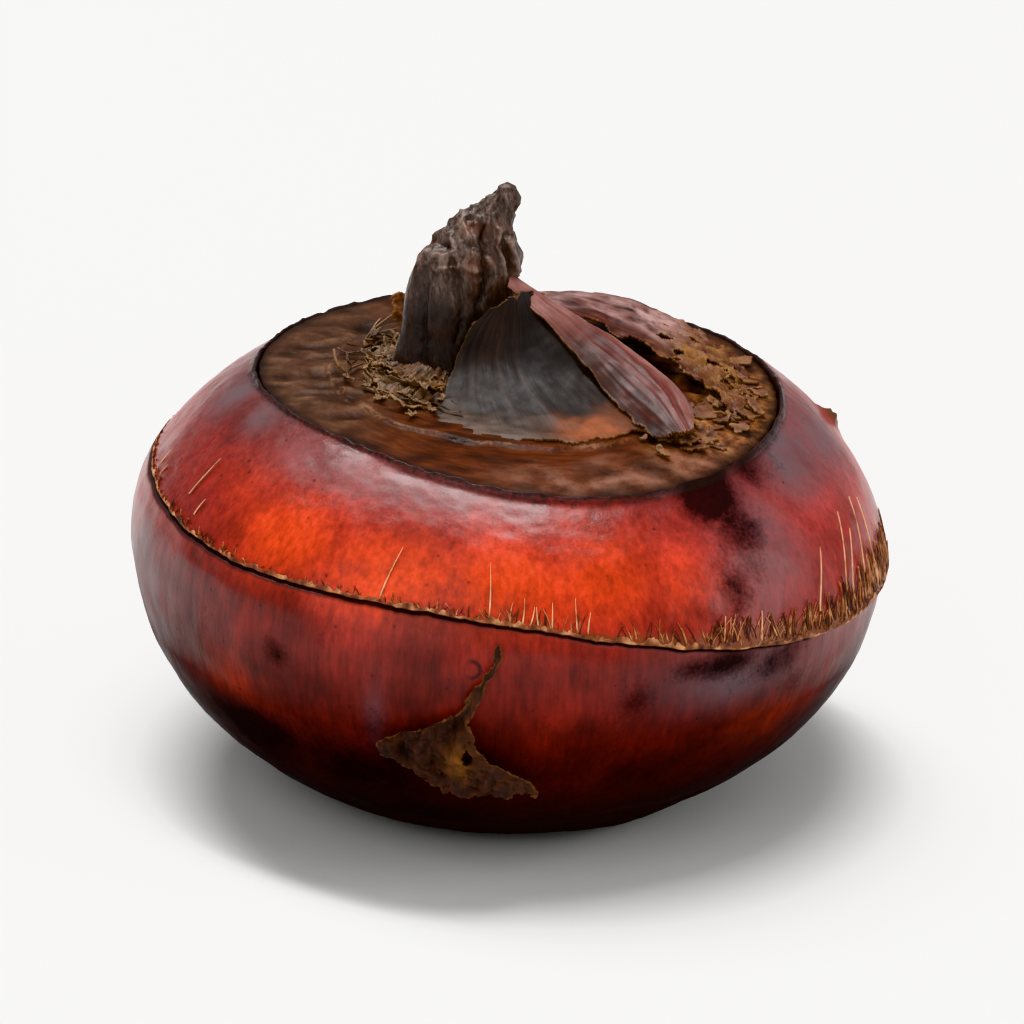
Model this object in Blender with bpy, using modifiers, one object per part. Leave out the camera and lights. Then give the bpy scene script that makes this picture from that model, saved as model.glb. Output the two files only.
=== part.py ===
"""Water chestnut: the swollen corm of a sedge, with the dry leaf scales that stay on its crown.

The formulas work in millimetres, and MM turns them to metres. +X is the chestnut's right, -Y its
front and +Z up. It rests on the flat round its basal scar, and its origin is the middle of its base.
"""
import math

import bmesh
import bpy
from mathutils import Vector

MM = 0.001

# The corm: two half ellipses of revolution that meet at its widest level
CORM_RADIUS = 21.0
WIDEST_HEIGHT = 13.8
UPPER_SEMI_HEIGHT = 13.0
LOWER_SEMI_HEIGHT = 15.65
CORM_SIDES = 64
LOWER_ROWS = 8
UPPER_ROWS = 6
FLANK_FOOT_HEIGHT = 0.95

# The node line, where the upper leaf base ends in a lip over a groove
SEAM_HEIGHT = 15.9
SEAM_GROOVE_DEPTH = 0.45
SEAM_LIP = 0.15

# The ring round the crown, and the crown's recess inside it
RING_RADIUS = 14.8
RING_LIP_HEIGHT = 0.25
CROWN_RECESS = 1.15
CROWN_CENTRE_HEIGHT = 22.7

# Dry leaf scales
SHEET_THICKNESS = 0.62
CLEARANCE = 0.34
BUD_AXIS_X = -3.3
BUD_DEPTH_SHARE = 0.8
BUD_HOLE = (4.35, 3.65)

# The middle of the whole chestnut's box, scales included, in the corm's own axes
CENTRE_X = 0.19
CENTRE_Y = -0.87


def wave(angle, count, peak_degrees):
    """A wave round the chestnut, from -1 to 1, with one of its crests at peak_degrees."""
    return math.cos(count * (angle - math.radians(peak_degrees)))


def mix(low, high, share):
    return low + (high - low) * share


def smooth_step(share):
    share = min(max(share, 0.0), 1.0)
    return share * share * (3.0 - 2.0 * share)


def torn(along, phase):
    """How far a torn edge strays, from -1 to 1, at a place along it from 0 to 1."""
    return (0.5 * math.sin(9.0 * along + phase)
            + 0.3 * math.sin(19.0 * along + 2.3 * phase)
            + 0.2 * math.sin(31.0 * along + 4.1 * phase))


def curve_point(points, share):
    """The point at a share of the way along a smooth curve through the given points."""
    place = min(max(share, 0.0), 1.0) * (len(points) - 1)
    first = min(int(place), len(points) - 2)
    t = place - first
    before = Vector(points[max(first - 1, 0)])
    start = Vector(points[first])
    end = Vector(points[first + 1])
    after = Vector(points[min(first + 2, len(points) - 1)])
    return 0.5 * (2.0 * start + (end - before) * t
                  + (2.0 * before - 5.0 * start + 4.0 * end - after) * t * t
                  + (3.0 * start - before - 3.0 * end + after) * t ** 3)


# Shape of the corm

def seam_height(angle):
    return (SEAM_HEIGHT + 2.0 * wave(angle, 1, -166) + 0.35 * wave(angle, 2, 71)
            + 0.2 * wave(angle, 3, 42) + 0.2 * wave(angle, 4, -4))


def ring_radius(angle):
    return (RING_RADIUS + 0.5 * wave(angle, 1, -14) + 0.25 * wave(angle, 2, -55)
            + 0.35 * wave(angle, 3, 49))


def ring_height(angle):
    """Height of the flank where it meets the ring."""
    return WIDEST_HEIGHT + UPPER_SEMI_HEIGHT * math.sqrt(1.0 - (ring_radius(angle) / CORM_RADIUS) ** 2)


def crown_height(x, y):
    """Height of the corm's crown inside the ring: a low dome that falls to the ring's foot."""
    angle = math.atan2(y, x)
    edge = ring_height(angle) - CROWN_RECESS
    share = min(math.hypot(x, y) / ring_radius(angle), 1.0)
    return mix(CROWN_CENTRE_HEIGHT, edge, share ** 2.6)


def flank(height, angle):
    """Radius of the corm's side at a height, with its slow swells."""
    drop = height - WIDEST_HEIGHT
    semi_height = UPPER_SEMI_HEIGHT if drop > 0.0 else LOWER_SEMI_HEIGHT
    radius = CORM_RADIUS * math.sqrt(max(1.0 - (drop / semi_height) ** 2, 0.0))
    return radius + 0.12 * wave(angle, 2, 25) + 0.08 * math.sin(4.0 * angle + 0.25 * height)


def base_stations(angle):
    """The stolon's button, the hollow of the basal scar, and the flat that the chestnut rests on."""
    inner = 5.7 + 0.25 * wave(angle, 3, 20)
    outer = 8.5 + 0.35 * wave(angle, 2, 70)
    return [(0.8, 0.7), (1.5, 0.8), (2.0, 1.3), (3.0, 1.25), (4.3, 0.75), (inner - 0.4, 0.2),
            (inner, 0.0), (outer, 0.0), (outer + 1.1, 0.25)]


def side_stations(angle):
    """The lower flank, the node line's groove and lip, and the upper flank."""
    seam = seam_height(angle)
    lower_bulge = 0.25 * max(wave(angle, 1, 180), 0.0)
    overhang = SEAM_LIP + 0.25 * max(wave(angle, 1, -20), 0.0)
    stations = []
    for row in range(LOWER_ROWS):
        height = mix(FLANK_FOOT_HEIGHT, seam - 1.1, (row / (LOWER_ROWS - 1)) ** 1.25)
        stations.append((flank(height, angle), height))
    stations.append((flank(seam - 0.4, angle) + lower_bulge, seam - 0.4))
    stations.append((flank(seam - 0.1, angle) - SEAM_GROOVE_DEPTH, seam - 0.1))
    stations.append((flank(seam + 0.1, angle) + overhang, seam + 0.1))
    stations.append((flank(seam + 0.6, angle) + 0.7 * overhang, seam + 0.6))
    top = ring_height(angle) - 0.25
    for row in range(1, UPPER_ROWS):
        height = mix(seam + 0.6, top, (row / UPPER_ROWS) ** 0.8)
        stations.append((flank(height, angle), height))
    return stations


def crown_stations(angle):
    """The raised ring, and the recessed crown inside it."""
    ring = ring_radius(angle)
    level = ring_height(angle)
    stations = [(ring + 0.5, level - 0.1), (ring + 0.2, level + RING_LIP_HEIGHT),
                (ring - 0.2, level + 0.8 * RING_LIP_HEIGHT)]
    for radius in (ring - 0.3, 0.8 * ring, 0.6 * ring, 0.4 * ring, 0.2 * ring):
        height = crown_height(radius * math.cos(angle), radius * math.sin(angle))
        stations.append((radius, height))
    return stations


def corm_stations(angle):
    return base_stations(angle) + side_stations(angle) + crown_stations(angle)


def corm_mesh():
    rows = len(corm_stations(0.0))
    mesh = bmesh.new()
    bmesh.ops.create_uvsphere(mesh, u_segments=CORM_SIDES, v_segments=rows + 1, radius=1.0)
    for vertex in mesh.verts:
        level = round((1.0 - math.acos(max(-1.0, min(1.0, vertex.co.z))) / math.pi) * (rows + 1))
        angle = math.atan2(vertex.co.y, vertex.co.x)
        if level == 0:
            vertex.co = Vector((0.0, 0.0, 0.65)) * MM
        elif level == rows + 1:
            vertex.co = Vector((0.0, 0.0, CROWN_CENTRE_HEIGHT)) * MM
        else:
            radius, height = corm_stations(angle)[level - 1]
            vertex.co = Vector((radius * math.cos(angle), radius * math.sin(angle), height)) * MM
    return mesh


# Shape of the bud sheath: height, middle in X, half its width

BUD_OUTLINE = [(23.0, -3.4, 3.2), (23.8, -3.45, 3.65), (26.2, -3.4, 3.35), (28.8, -3.4, 3.35),
               (30.5, -3.05, 3.25), (31.4, -2.9, 3.05), (32.6, -2.7, 2.4), (33.7, -2.1, 1.75),
               (34.3, -1.4, 1.15), (34.9, -1.05, 0.85), (35.4, -0.95, 0.5)]
BUD_SIDES = 36
BUD_ROWS = 26
BUD_TIP = (-0.95, 0.0, 35.55)


def bud_point(angle, share):
    """A point of the crumpled sheath, at a share of its height."""
    height, middle, half_width = curve_point(BUD_OUTLINE, share)
    pleat = smooth_step(share / 0.15) * smooth_step((1.0 - share) / 0.2)
    fold = 0.5 - 0.5 * math.cos(5.0 * angle + 2.2 * share + 0.6)
    crease = 0.5 - 0.5 * math.cos(11.0 * angle - 3.0 * share)
    dent = 0.5 + 0.5 * math.sin(16.0 * share + 3.0 * angle)
    radius = half_width * (1.0 - pleat * (0.1 * fold + 0.04 * crease + 0.04 * dent))
    return Vector((middle + radius * math.cos(angle),
                   BUD_DEPTH_SHARE * radius * math.sin(angle),
                   height))


def bud_mesh():
    mesh = bmesh.new()
    bmesh.ops.create_uvsphere(mesh, u_segments=BUD_SIDES, v_segments=BUD_ROWS, radius=1.0)
    for vertex in mesh.verts:
        level = round((1.0 - math.acos(max(-1.0, min(1.0, vertex.co.z))) / math.pi) * BUD_ROWS)
        angle = math.atan2(vertex.co.y, vertex.co.x)
        if level == 0:
            vertex.co = Vector((BUD_AXIS_X, 0.0, BUD_OUTLINE[0][0])) * MM
        elif level == BUD_ROWS:
            vertex.co = Vector(BUD_TIP) * MM
        else:
            vertex.co = bud_point(angle, (level - 1) / (BUD_ROWS - 2)) * MM
    return mesh


# Sheets: each takes a place (u, v) from 0 to 1 and gives a point of its upper face

def scale_top(x, y):
    """Height of the crown scale's upper face."""
    return crown_height(x, y) + CLEARANCE + SHEET_THICKNESS


def over_crown(x, y, rise=0.0):
    """A point of an upper sheet, whose lower face clears the crown scale by the clearance and a rise."""
    return Vector((x, y, scale_top(x, y) + CLEARANCE + SHEET_THICKNESS + rise))


def crown_scale_point(u, v):
    """The leaf base on the crown, from the ring (v = 0) in to the hole that the bud stands in."""
    angle = 2.0 * math.pi * u
    outer = (ring_radius(angle) - 0.68) * Vector((math.cos(angle), math.sin(angle)))
    inner = Vector((BUD_AXIS_X + BUD_HOLE[0] * math.cos(angle), BUD_HOLE[1] * math.sin(angle)))
    spot = outer.lerp(inner, v)
    wrinkle = 0.08 * (1.0 + math.sin(9.0 * angle + 6.0 * v)) * math.sin(math.pi * v)
    curl = 0.2 * smooth_step((v - 0.8) / 0.2)
    return Vector((spot.x, spot.y, scale_top(spot.x, spot.y) + wrinkle + curl))


def net_point(net, u, v):
    """The point of a smooth sheet through a net of points: u runs along its rows, v from row to row."""
    return curve_point([curve_point(row, u) for row in net], v)


# The front scale's net, from its foot on the crown up to its torn top
FRONT_NET = [[(-4.8, -8.6, 23.55), (-0.9, -9.8, 23.5), (3.6, -9.5, 23.5), (7.8, -7.2, 23.6)],
             [(-4.3, -6.3, 23.95), (-1.4, -7.2, 24.1), (2.3, -7.2, 24.25), (6.2, -5.6, 24.4)],
             [(-3.8, -4.6, 24.35), (-1.9, -5.2, 24.5), (1.0, -5.3, 24.9), (4.4, -3.9, 25.6)],
             [(-3.4, -3.8, 26.0), (-1.9, -4.1, 26.0), (0.5, -4.3, 26.2), (3.2, -3.2, 27.0)],
             [(-2.6, -3.6, 27.6), (-1.4, -3.7, 27.6), (0.4, -3.3, 27.8), (2.0, -2.4, 28.2)],
             [(-1.5, -3.3, 28.8), (-0.7, -3.1, 28.9), (0.2, -2.7, 29.0), (1.1, -1.9, 29.2)]]
FRONT_SHARE = 0.74


def front_scale_point(u, v):
    """The scale that wraps the right of the bud's front and flares out flat on the crown."""
    point = net_point(FRONT_NET, FRONT_SHARE * u, v)
    foot_tear = 0.3 * torn(u, 1.0) * (1.0 - smooth_step(v / 0.2))
    top_tear = 0.15 * torn(0.3 * u, 4.0) * smooth_step((v - 0.6) / 0.4)
    floor = over_crown(point.x, point.y, 0.1 + 0.4 * smooth_step(v / 0.35))
    point.z = max(point.z, floor.z)
    return point + Vector((0.0, foot_tear, top_tear))


# The folded scale's net, from its lower left edge over its ridge to its upper right edge
FOLD_NET = [[(0.8, -1.8, 29.6), (3.2, -3.3, 27.7), (5.4, -5.2, 25.8), (7.3, -7.4, 24.9), (9.2, -9.0, 24.7)],
            [(1.2, -1.3, 29.7), (3.4, -2.5, 28.3), (5.9, -4.0, 26.9), (8.1, -6.2, 25.8), (9.7, -8.7, 24.9)],
            [(1.4, -0.7, 29.7), (3.6, -1.6, 28.7), (6.5, -2.7, 27.4), (9.0, -4.9, 26.1), (10.3, -8.2, 25.0)],
            [(1.7, 0.0, 29.6), (3.5, -0.6, 28.4), (6.4, -1.1, 26.8), (9.4, -3.5, 25.4), (10.8, -7.4, 24.8)]]


def folded_scale_point(u, v):
    """The flake that folds down to the right, arched along its length."""
    point = net_point(FOLD_NET, u, v)
    point.z += 0.06 * math.sin(9.0 * math.pi * v) * u
    return point


# The back scale's net, from its free front edge to the edge along the back of the ring
BACK_NET = [[(2.2, 1.4, 27.4), (5.2, 1.8, 26.1), (8.4, 1.0, 25.2), (11.0, -1.5, 24.5), (12.3, -4.6, 24.0)],
            [(2.0, 5.0, 26.5), (5.5, 5.6, 25.7), (9.0, 4.4, 24.9), (11.8, 1.6, 24.2), (13.2, -2.2, 23.9)],
            [(1.4, 9.4, 25.1), (5.0, 10.6, 24.8), (8.7, 9.5, 24.2), (11.8, 6.1, 23.9), (13.7, 1.2, 23.8)]]


def back_scale_point(u, v):
    """The widest flake, raised over the crown behind the folded one and running down to the ring."""
    point = net_point(BACK_NET, u, v)
    buckle = 0.14 * math.sin(13.0 * u + 4.0 * v)
    ragged = 0.3 * torn(u, 3.0) * (1.0 - smooth_step(v / 0.3))
    floor = over_crown(point.x, point.y + ragged, 0.2)
    return Vector((point.x, point.y + ragged, max(point.z, floor.z) + buckle * (1.0 - 0.6 * v)))


def collar_point(u, v):
    """Torn leaf ends round the left foot of the bud, curled up at their ragged outer edge."""
    turn = math.radians(mix(-228.0, -112.0, u))
    reach = 7.2 + 0.9 * torn(u, 5.0)
    distance = mix(reach, 4.9, v)
    curl = 0.5 * (1.0 - smooth_step(v / 0.5)) * (0.6 + 0.4 * torn(u, 8.0))
    foot = 1.1 * smooth_step((v - 0.6) / 0.4)
    return over_crown(BUD_AXIS_X + distance * math.cos(turn), 0.95 * distance * math.sin(turn),
                      0.15 + curl + foot)


def side_tag_point(u, v):
    """A small torn flap that stands up behind the bud, at the left."""
    half_width = 1.0 - 0.45 * v
    x = -5.8 + half_width * (2.0 * u - 1.0) - 0.9 * v
    y = 6.3 + 0.3 * (2.0 * u - 1.0) + 0.5 * v
    rise = 2.1 * v + 0.25 * math.sin(math.pi * u)
    return over_crown(x, y, rise)


def lower_scrap_point(u, v):
    """The papery remnant on the lower half: a stalk from below the node line, then a torn flap."""
    left = 0.6 + 4.5 * math.exp(-((v - 0.68) / 0.19) ** 2) + 0.6 * smooth_step((v - 0.75) / 0.25)
    right = 0.6 + 3.6 * math.exp(-((v - 0.92) / 0.2) ** 2)
    across = mix(-0.1, -1.7, smooth_step(v / 0.45)) + mix(-left, right, u)
    height = mix(15.9, 6.5, v) + 0.3 * torn(u, 2.5) * smooth_step((v - 0.7) / 0.3)
    angle = math.radians(-90.0) + across / CORM_RADIUS
    cockle = 0.18 * (1.0 + math.sin(7.0 * u + 4.0 * v)) * smooth_step((left + right - 2.0) / 4.0)
    stand_off = CLEARANCE + SHEET_THICKNESS + 0.1 + 0.3 * smooth_step((v - 0.3) / 0.7)
    radius = flank(height, angle) + stand_off + cockle
    return Vector((radius * math.cos(angle), radius * math.sin(angle), height))


def sheet_mesh(place, columns, rows, closed_round=False):
    """A flat grid moved point by point onto a sheet's upper face."""
    mesh = bmesh.new()
    bmesh.ops.create_grid(mesh, x_segments=columns, y_segments=rows, size=1.0)
    for vertex in mesh.verts:
        vertex.co = place(0.5 + 0.5 * vertex.co.x, 0.5 + 0.5 * vertex.co.y) * MM
    if closed_round:
        bmesh.ops.remove_doubles(mesh, verts=mesh.verts, dist=0.00001)
    bmesh.ops.triangulate(mesh, faces=mesh.faces)
    return mesh


# Objects and materials

def remove_scene_objects():
    for old in list(bpy.data.objects):
        bpy.data.objects.remove(old, do_unlink=True)


def make_collection(name):
    collection = bpy.data.collections.new(name)
    bpy.context.scene.collection.children.link(collection)
    return collection


def make_material(name, colour, roughness):
    material = bpy.data.materials.new(name)
    material.use_nodes = True
    shader = material.node_tree.nodes["Principled BSDF"]
    shader.inputs["Base Color"].default_value = (*colour, 1.0)
    shader.inputs["Roughness"].default_value = roughness
    shader.inputs["Metallic"].default_value = 0.0
    return material


def make_object(collection, name, shape, colour, roughness):
    mesh = bpy.data.meshes.new(name)
    shape.to_mesh(mesh)
    shape.free()
    mesh.shade_smooth()
    piece = bpy.data.objects.new(name, mesh)
    piece.location = Vector((-CENTRE_X, -CENTRE_Y, 0.0)) * MM
    collection.objects.link(piece)
    mesh.materials.append(make_material(name, colour, roughness))
    return piece


def make_sheet(collection, name, shape, colour, roughness):
    """A sheet object: its thickness grows from the upper face down."""
    piece = make_object(collection, name, shape, colour, roughness)
    solidify = piece.modifiers.new("thickness", "SOLIDIFY")
    solidify.thickness = SHEET_THICKNESS * MM
    solidify.offset = -1.0
    return piece


def build_water_chestnut():
    remove_scene_objects()
    chestnut = make_collection("water_chestnut")
    make_object(chestnut, "corm", corm_mesh(), (0.42, 0.05, 0.025), 0.25)
    make_object(chestnut, "bud_sheath", bud_mesh(), (0.035, 0.02, 0.016), 0.6)
    make_sheet(chestnut, "crown_scale", sheet_mesh(crown_scale_point, 56, 8, True), (0.1, 0.04, 0.018), 0.45)
    make_sheet(chestnut, "front_scale", sheet_mesh(front_scale_point, 18, 14), (0.025, 0.012, 0.01), 0.4)
    make_sheet(chestnut, "folded_scale", sheet_mesh(folded_scale_point, 18, 8), (0.2, 0.08, 0.08), 0.4)
    make_sheet(chestnut, "back_scale", sheet_mesh(back_scale_point, 22, 8), (0.22, 0.1, 0.07), 0.5)
    make_sheet(chestnut, "collar_shreds", sheet_mesh(collar_point, 34, 4), (0.14, 0.1, 0.07), 0.7)
    make_sheet(chestnut, "side_tag", sheet_mesh(side_tag_point, 6, 5), (0.3, 0.12, 0.04), 0.6)
    make_sheet(chestnut, "lower_scrap", sheet_mesh(lower_scrap_point, 10, 14), (0.12, 0.05, 0.02), 0.6)


build_water_chestnut()
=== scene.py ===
import math

import bpy
import numpy as np
from mathutils import Matrix, Vector, noise


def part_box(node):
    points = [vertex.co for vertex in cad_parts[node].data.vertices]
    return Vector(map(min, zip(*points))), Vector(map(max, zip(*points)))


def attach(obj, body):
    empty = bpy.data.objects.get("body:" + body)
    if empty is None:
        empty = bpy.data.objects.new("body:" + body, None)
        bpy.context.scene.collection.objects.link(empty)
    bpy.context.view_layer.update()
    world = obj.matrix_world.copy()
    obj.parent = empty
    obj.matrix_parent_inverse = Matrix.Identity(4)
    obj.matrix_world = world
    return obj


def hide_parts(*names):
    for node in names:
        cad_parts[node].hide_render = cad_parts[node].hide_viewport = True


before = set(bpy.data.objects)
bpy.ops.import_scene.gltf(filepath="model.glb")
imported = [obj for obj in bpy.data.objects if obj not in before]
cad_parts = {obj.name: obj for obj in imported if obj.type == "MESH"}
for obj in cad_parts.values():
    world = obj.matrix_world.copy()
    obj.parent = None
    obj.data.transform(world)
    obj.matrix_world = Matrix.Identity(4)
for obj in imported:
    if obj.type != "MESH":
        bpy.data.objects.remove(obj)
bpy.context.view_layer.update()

MM = 0.001


# The corm is the swollen base of the stem, grown in one piece: white starchy flesh under a thin,
# hard, glossy skin. The leaf base of the node round its widest part ends there in a frayed lip over
# a groove, and the leaf base of the next node up ends in the dark raised ring round the crown.

corm_low, corm_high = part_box("corm")
# The corm's axis lies a little off the middle of its box
BOX_TO_AXIS_X = -0.195
BOX_TO_AXIS_Y = 0.03
AXIS = Vector(((corm_low.x + corm_high.x) / 2 / MM + BOX_TO_AXIS_X,
               (corm_low.y + corm_high.y) / 2 / MM + BOX_TO_AXIS_Y, 0.0))
CORM_RADIUS = 21.0
WIDEST_HEIGHT = 13.8
UPPER_SEMI_HEIGHT = 13.0
LOWER_SEMI_HEIGHT = 15.65
CROWN_CENTRE_HEIGHT = 22.7
CROWN_RECESS = 1.15
SEAM_HEIGHT = 15.9
RING_RADIUS = 14.8


def wave(angle, count, peak_degrees):
    return np.cos(count * (angle - np.radians(peak_degrees)))


def mix(low, high, share):
    return low + (high - low) * share


def smooth_step(low, high, value):
    share = np.clip((value - low) / (high - low), 0.0, 1.0)
    return share * share * (3.0 - 2.0 * share)


def seam_height(angle):
    return (SEAM_HEIGHT + 2.0 * wave(angle, 1, -166) + 0.35 * wave(angle, 2, 71)
            + 0.2 * wave(angle, 3, 42) + 0.2 * wave(angle, 4, -4))


def ring_radius(angle):
    return (RING_RADIUS + 0.5 * wave(angle, 1, -14) + 0.25 * wave(angle, 2, -55)
            + 0.35 * wave(angle, 3, 49))


def ring_height(angle):
    return WIDEST_HEIGHT + UPPER_SEMI_HEIGHT * np.sqrt(1.0 - (ring_radius(angle) / CORM_RADIUS) ** 2)


def crown_height(x, y):
    angle = np.arctan2(y, x)
    share = np.clip(np.hypot(x, y) / ring_radius(angle), 0.0, 1.0)
    return mix(CROWN_CENTRE_HEIGHT, ring_height(angle) - CROWN_RECESS, share ** 2.6)


def flank(height, angle):
    drop = height - WIDEST_HEIGHT
    semi_height = np.where(drop > 0.0, UPPER_SEMI_HEIGHT, LOWER_SEMI_HEIGHT)
    radius = CORM_RADIUS * np.sqrt(np.maximum(1.0 - (drop / semi_height) ** 2, 0.0))
    return radius + 0.12 * wave(angle, 2, 25) + 0.08 * np.sin(4.0 * angle + 0.25 * height)


def rough(points, size, depth=3):
    """Fractal noise at each point, from about -1 to 1, with lumps of a size in millimetres."""
    flat = np.asarray(points, float).reshape(-1, 3) / size
    values = [noise.fractal(Vector(point), 1.0, 2.1, depth) for point in flat]
    return np.array(values).reshape(np.shape(points)[:-1])


def normals_of(points, closed_round):
    """The unit normal at each point of a grid of points, rows first."""
    if closed_round:
        along = np.roll(points, -1, axis=1) - np.roll(points, 1, axis=1)
    else:
        along = np.gradient(points, axis=1)
    across = np.gradient(points, axis=0)
    normals = np.cross(along, across)
    return normals / np.maximum(np.linalg.norm(normals, axis=2, keepdims=True), 1e-9)


def pushed_out(points, millimetres, closed_round=False):
    """A grid of points, pushed out along its normals by the millimetres given for each point."""
    return points + normals_of(points, closed_round) * millimetres[:, :, None]


def grid_of(columns, rows, closed_round=False):
    """The share across of each grid point, or its angle where the grid closes round, and its share up."""
    across = np.linspace(0.0, 2.0 * math.pi if closed_round else 1.0, columns, endpoint=not closed_round)
    return np.meshgrid(across, np.linspace(0.0, 1.0, rows))


def through(points, shares):
    """Points along a smooth curve through the given ones, at shares of its way from 0 to 1."""
    points = np.asarray(points, float)
    place = np.clip(shares, 0.0, 1.0) * (len(points) - 1)
    first = np.minimum(place.astype(int), len(points) - 2)
    t = (place - first).reshape(np.shape(shares) + (1,) * (points.ndim - 1))
    before, start = points[np.maximum(first - 1, 0)], points[first]
    end, after = points[first + 1], points[np.minimum(first + 2, len(points) - 1)]
    return 0.5 * (2.0 * start + (end - before) * t
                  + (2.0 * before - 5.0 * start + 4.0 * end - after) * t ** 2
                  + (3.0 * start - before - 3.0 * end + after) * t ** 3)


def quads(rows, columns, closed_round=False, kept=None, first_point=0):
    """The faces of a grid of points, rows first, leaving out those with a corner that isn't kept."""
    row, column = np.meshgrid(np.arange(rows - 1), np.arange(columns if closed_round else columns - 1),
                              indexing="ij")
    following = (column + 1) % columns
    this_row, next_row = row * columns, (row + 1) * columns
    corners = np.stack([this_row + column, this_row + following,
                        next_row + following, next_row + column], axis=2).reshape(-1, 4)
    if kept is not None:
        corners = corners[kept.ravel()[corners].all(axis=1)]
    return (corners + first_point).tolist()


def mesh_object(name, spots, faces, marks):
    """A smooth mesh of points in millimetres from the corm's axis, with marks kept as attributes."""
    used = np.unique(np.concatenate([np.ravel(face) for face in faces]))
    new_place = np.zeros(len(spots), int)
    new_place[used] = np.arange(len(used))
    mesh = bpy.data.meshes.new(name)
    mesh.from_pydata(((spots[used] + np.array(AXIS)) * MM).tolist(), [],
                     [new_place[face].tolist() for face in faces])
    for key, value in marks.items():
        value = np.asarray(value, float).reshape(len(spots), -1)[used]
        if value.shape[1] == 3:
            mesh.attributes.new(key, "FLOAT_VECTOR", "POINT").data.foreach_set("vector", value.ravel())
        else:
            mesh.attributes.new(key, "FLOAT", "POINT").data.foreach_set("value", value.ravel())
    mesh.shade_smooth()
    piece = bpy.data.objects.new(name, mesh)
    bpy.context.scene.collection.objects.link(piece)
    return piece


def thicken(piece, millimetres):
    """Gives a sheet its thickness, from its upper face down."""
    solidify = piece.modifiers.new("thickness", "SOLIDIFY")
    solidify.thickness = millimetres * MM
    solidify.offset = -1.0


def with_poles(value, bottom, top):
    """The marks of a closed round grid, with one for the point at each end."""
    value = np.asarray(value, float)
    return np.vstack([value.reshape(value.shape[0] * value.shape[1], -1), bottom, top])


CORM_COLUMNS = 432
turn = np.linspace(0.0, 2.0 * math.pi, CORM_COLUMNS, endpoint=False)
around = np.stack([np.cos(turn), np.sin(turn), np.zeros_like(turn)], axis=1)


def station(radius, height):
    return np.stack([radius + 0.0 * turn, height + 0.0 * turn])


foot_inner = 5.7 + 0.25 * wave(turn, 3, 20)
foot_outer = 8.5 + 0.35 * wave(turn, 2, 70)
stations = [station(0.5, 0.68), station(1.0, 0.72), station(1.5, 0.8), station(1.9, 1.25),
            station(2.3, 1.38), station(3.0, 1.25), station(4.3, 0.75), station(foot_inner - 0.4, 0.18),
            station(foot_inner, 0.0), station(foot_outer, 0.0), station(foot_outer + 1.1, 0.25)]
splits = [1, 2, 3, 3, 3, 4, 5, 3, 5, 5, 5]

fray = 0.09 * rough(around * CORM_RADIUS + 31.0, 1.6, 4) + 0.06 * rough(around * CORM_RADIUS, 0.5, 2)
seam = seam_height(turn) + fray
lower_bulge = 0.25 * np.maximum(wave(turn, 1, 180), 0.0)
overhang = 0.15 + 0.25 * np.maximum(wave(turn, 1, -20), 0.0)
LOWER_STATIONS = 14
for share in np.linspace(0.0, 1.0, LOWER_STATIONS) ** 1.2:
    height = mix(0.95, seam - 1.5, share)
    stations.append(station(flank(height, turn) + lower_bulge * share ** 4, height))
    splits.append(4)
for below, push in ((0.8, 1.0), (0.35, 1.0), (0.2, 0.6)):
    stations.append(station(flank(seam - below, turn) + push * lower_bulge, seam - below))
    splits.append(3)
groove = 0.42 + 0.1 * rough(around * CORM_RADIUS, 3.0)
stations.append(station(flank(seam - 0.09, turn) - groove, seam - 0.09))
stations.append(station(flank(seam, turn) - 0.6 * groove, seam - 0.01))
stations.append(station(flank(seam + 0.02, turn) + overhang, seam))
stations.append(station(flank(seam + 0.1, turn) + 1.1 * overhang, seam + 0.09))
stations.append(station(flank(seam + 0.3, turn) + 0.9 * overhang, seam + 0.3))
stations.append(station(flank(seam + 0.7, turn) + 0.65 * overhang, seam + 0.7))
splits += [2, 2, 2, 2, 3, 4]

ring = ring_radius(turn) + 0.07 * rough(around * CORM_RADIUS + 7.0, 1.3, 4)
ring_level = ring_height(turn)
UPPER_STATIONS = 12
for share in np.linspace(0.0, 1.0, UPPER_STATIONS) ** 0.85:
    height = mix(seam + 1.4, ring_level - 0.3, share)
    stations.append(station(flank(height, turn) + 0.4 * overhang * (1.0 - share) ** 3, height))
    splits.append(5)
lip = np.maximum(0.12 + 0.12 * rough(around * CORM_RADIUS + 3.0, 0.9, 4), 0.03)
stations.append(station(ring + 0.26, ring_level - 0.1))
stations.append(station(ring + 0.17, ring_level + 0.02))
stations.append(station(ring + 0.1, ring_level + lip))
stations.append(station(ring - 0.02, ring_level + 0.9 * lip))
stations.append(station(ring - 0.1, ring_level - 0.15))
splits += [2, 2, 3, 2, 3]
for radius in (ring - 0.28, 0.8 * ring, 0.5 * ring, 0.2 * ring):
    stations.append(station(radius, crown_height(radius * np.cos(turn), radius * np.sin(turn))))
    splits.append(2)
splits.pop()

row_shares = [index + step / count for index, count in enumerate(splits) for step in range(count)]
profile = through(stations, np.array(row_shares + [len(splits)]) / len(splits))
corm_radius, corm_height = profile[:, 0, :], np.maximum(profile[:, 1, :], 0.0)
corm_points = np.stack([corm_radius * np.cos(turn), corm_radius * np.sin(turn), corm_height], axis=2)
above_floor = smooth_step(0.0, 1.5, corm_height)
swell = 0.09 * rough(corm_points, 6.0, 2) + 0.035 * rough(corm_points + 50.0, 1.6, 2)
creased = corm_points * np.array([2.2, 2.2, 0.3])
striation = 0.016 * rough(creased, 1.0, 2)
away_from_edges = np.minimum(smooth_step(0.0, 0.5, np.abs(corm_height - seam)),
                             smooth_step(-0.1, 0.5, np.abs(corm_radius - ring - 0.2)))
push = above_floor * (swell + striation) * mix(0.25, 1.0, away_from_edges)

angle_of = np.arctan2(corm_points[:, :, 1], corm_points[:, :, 0])


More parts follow.
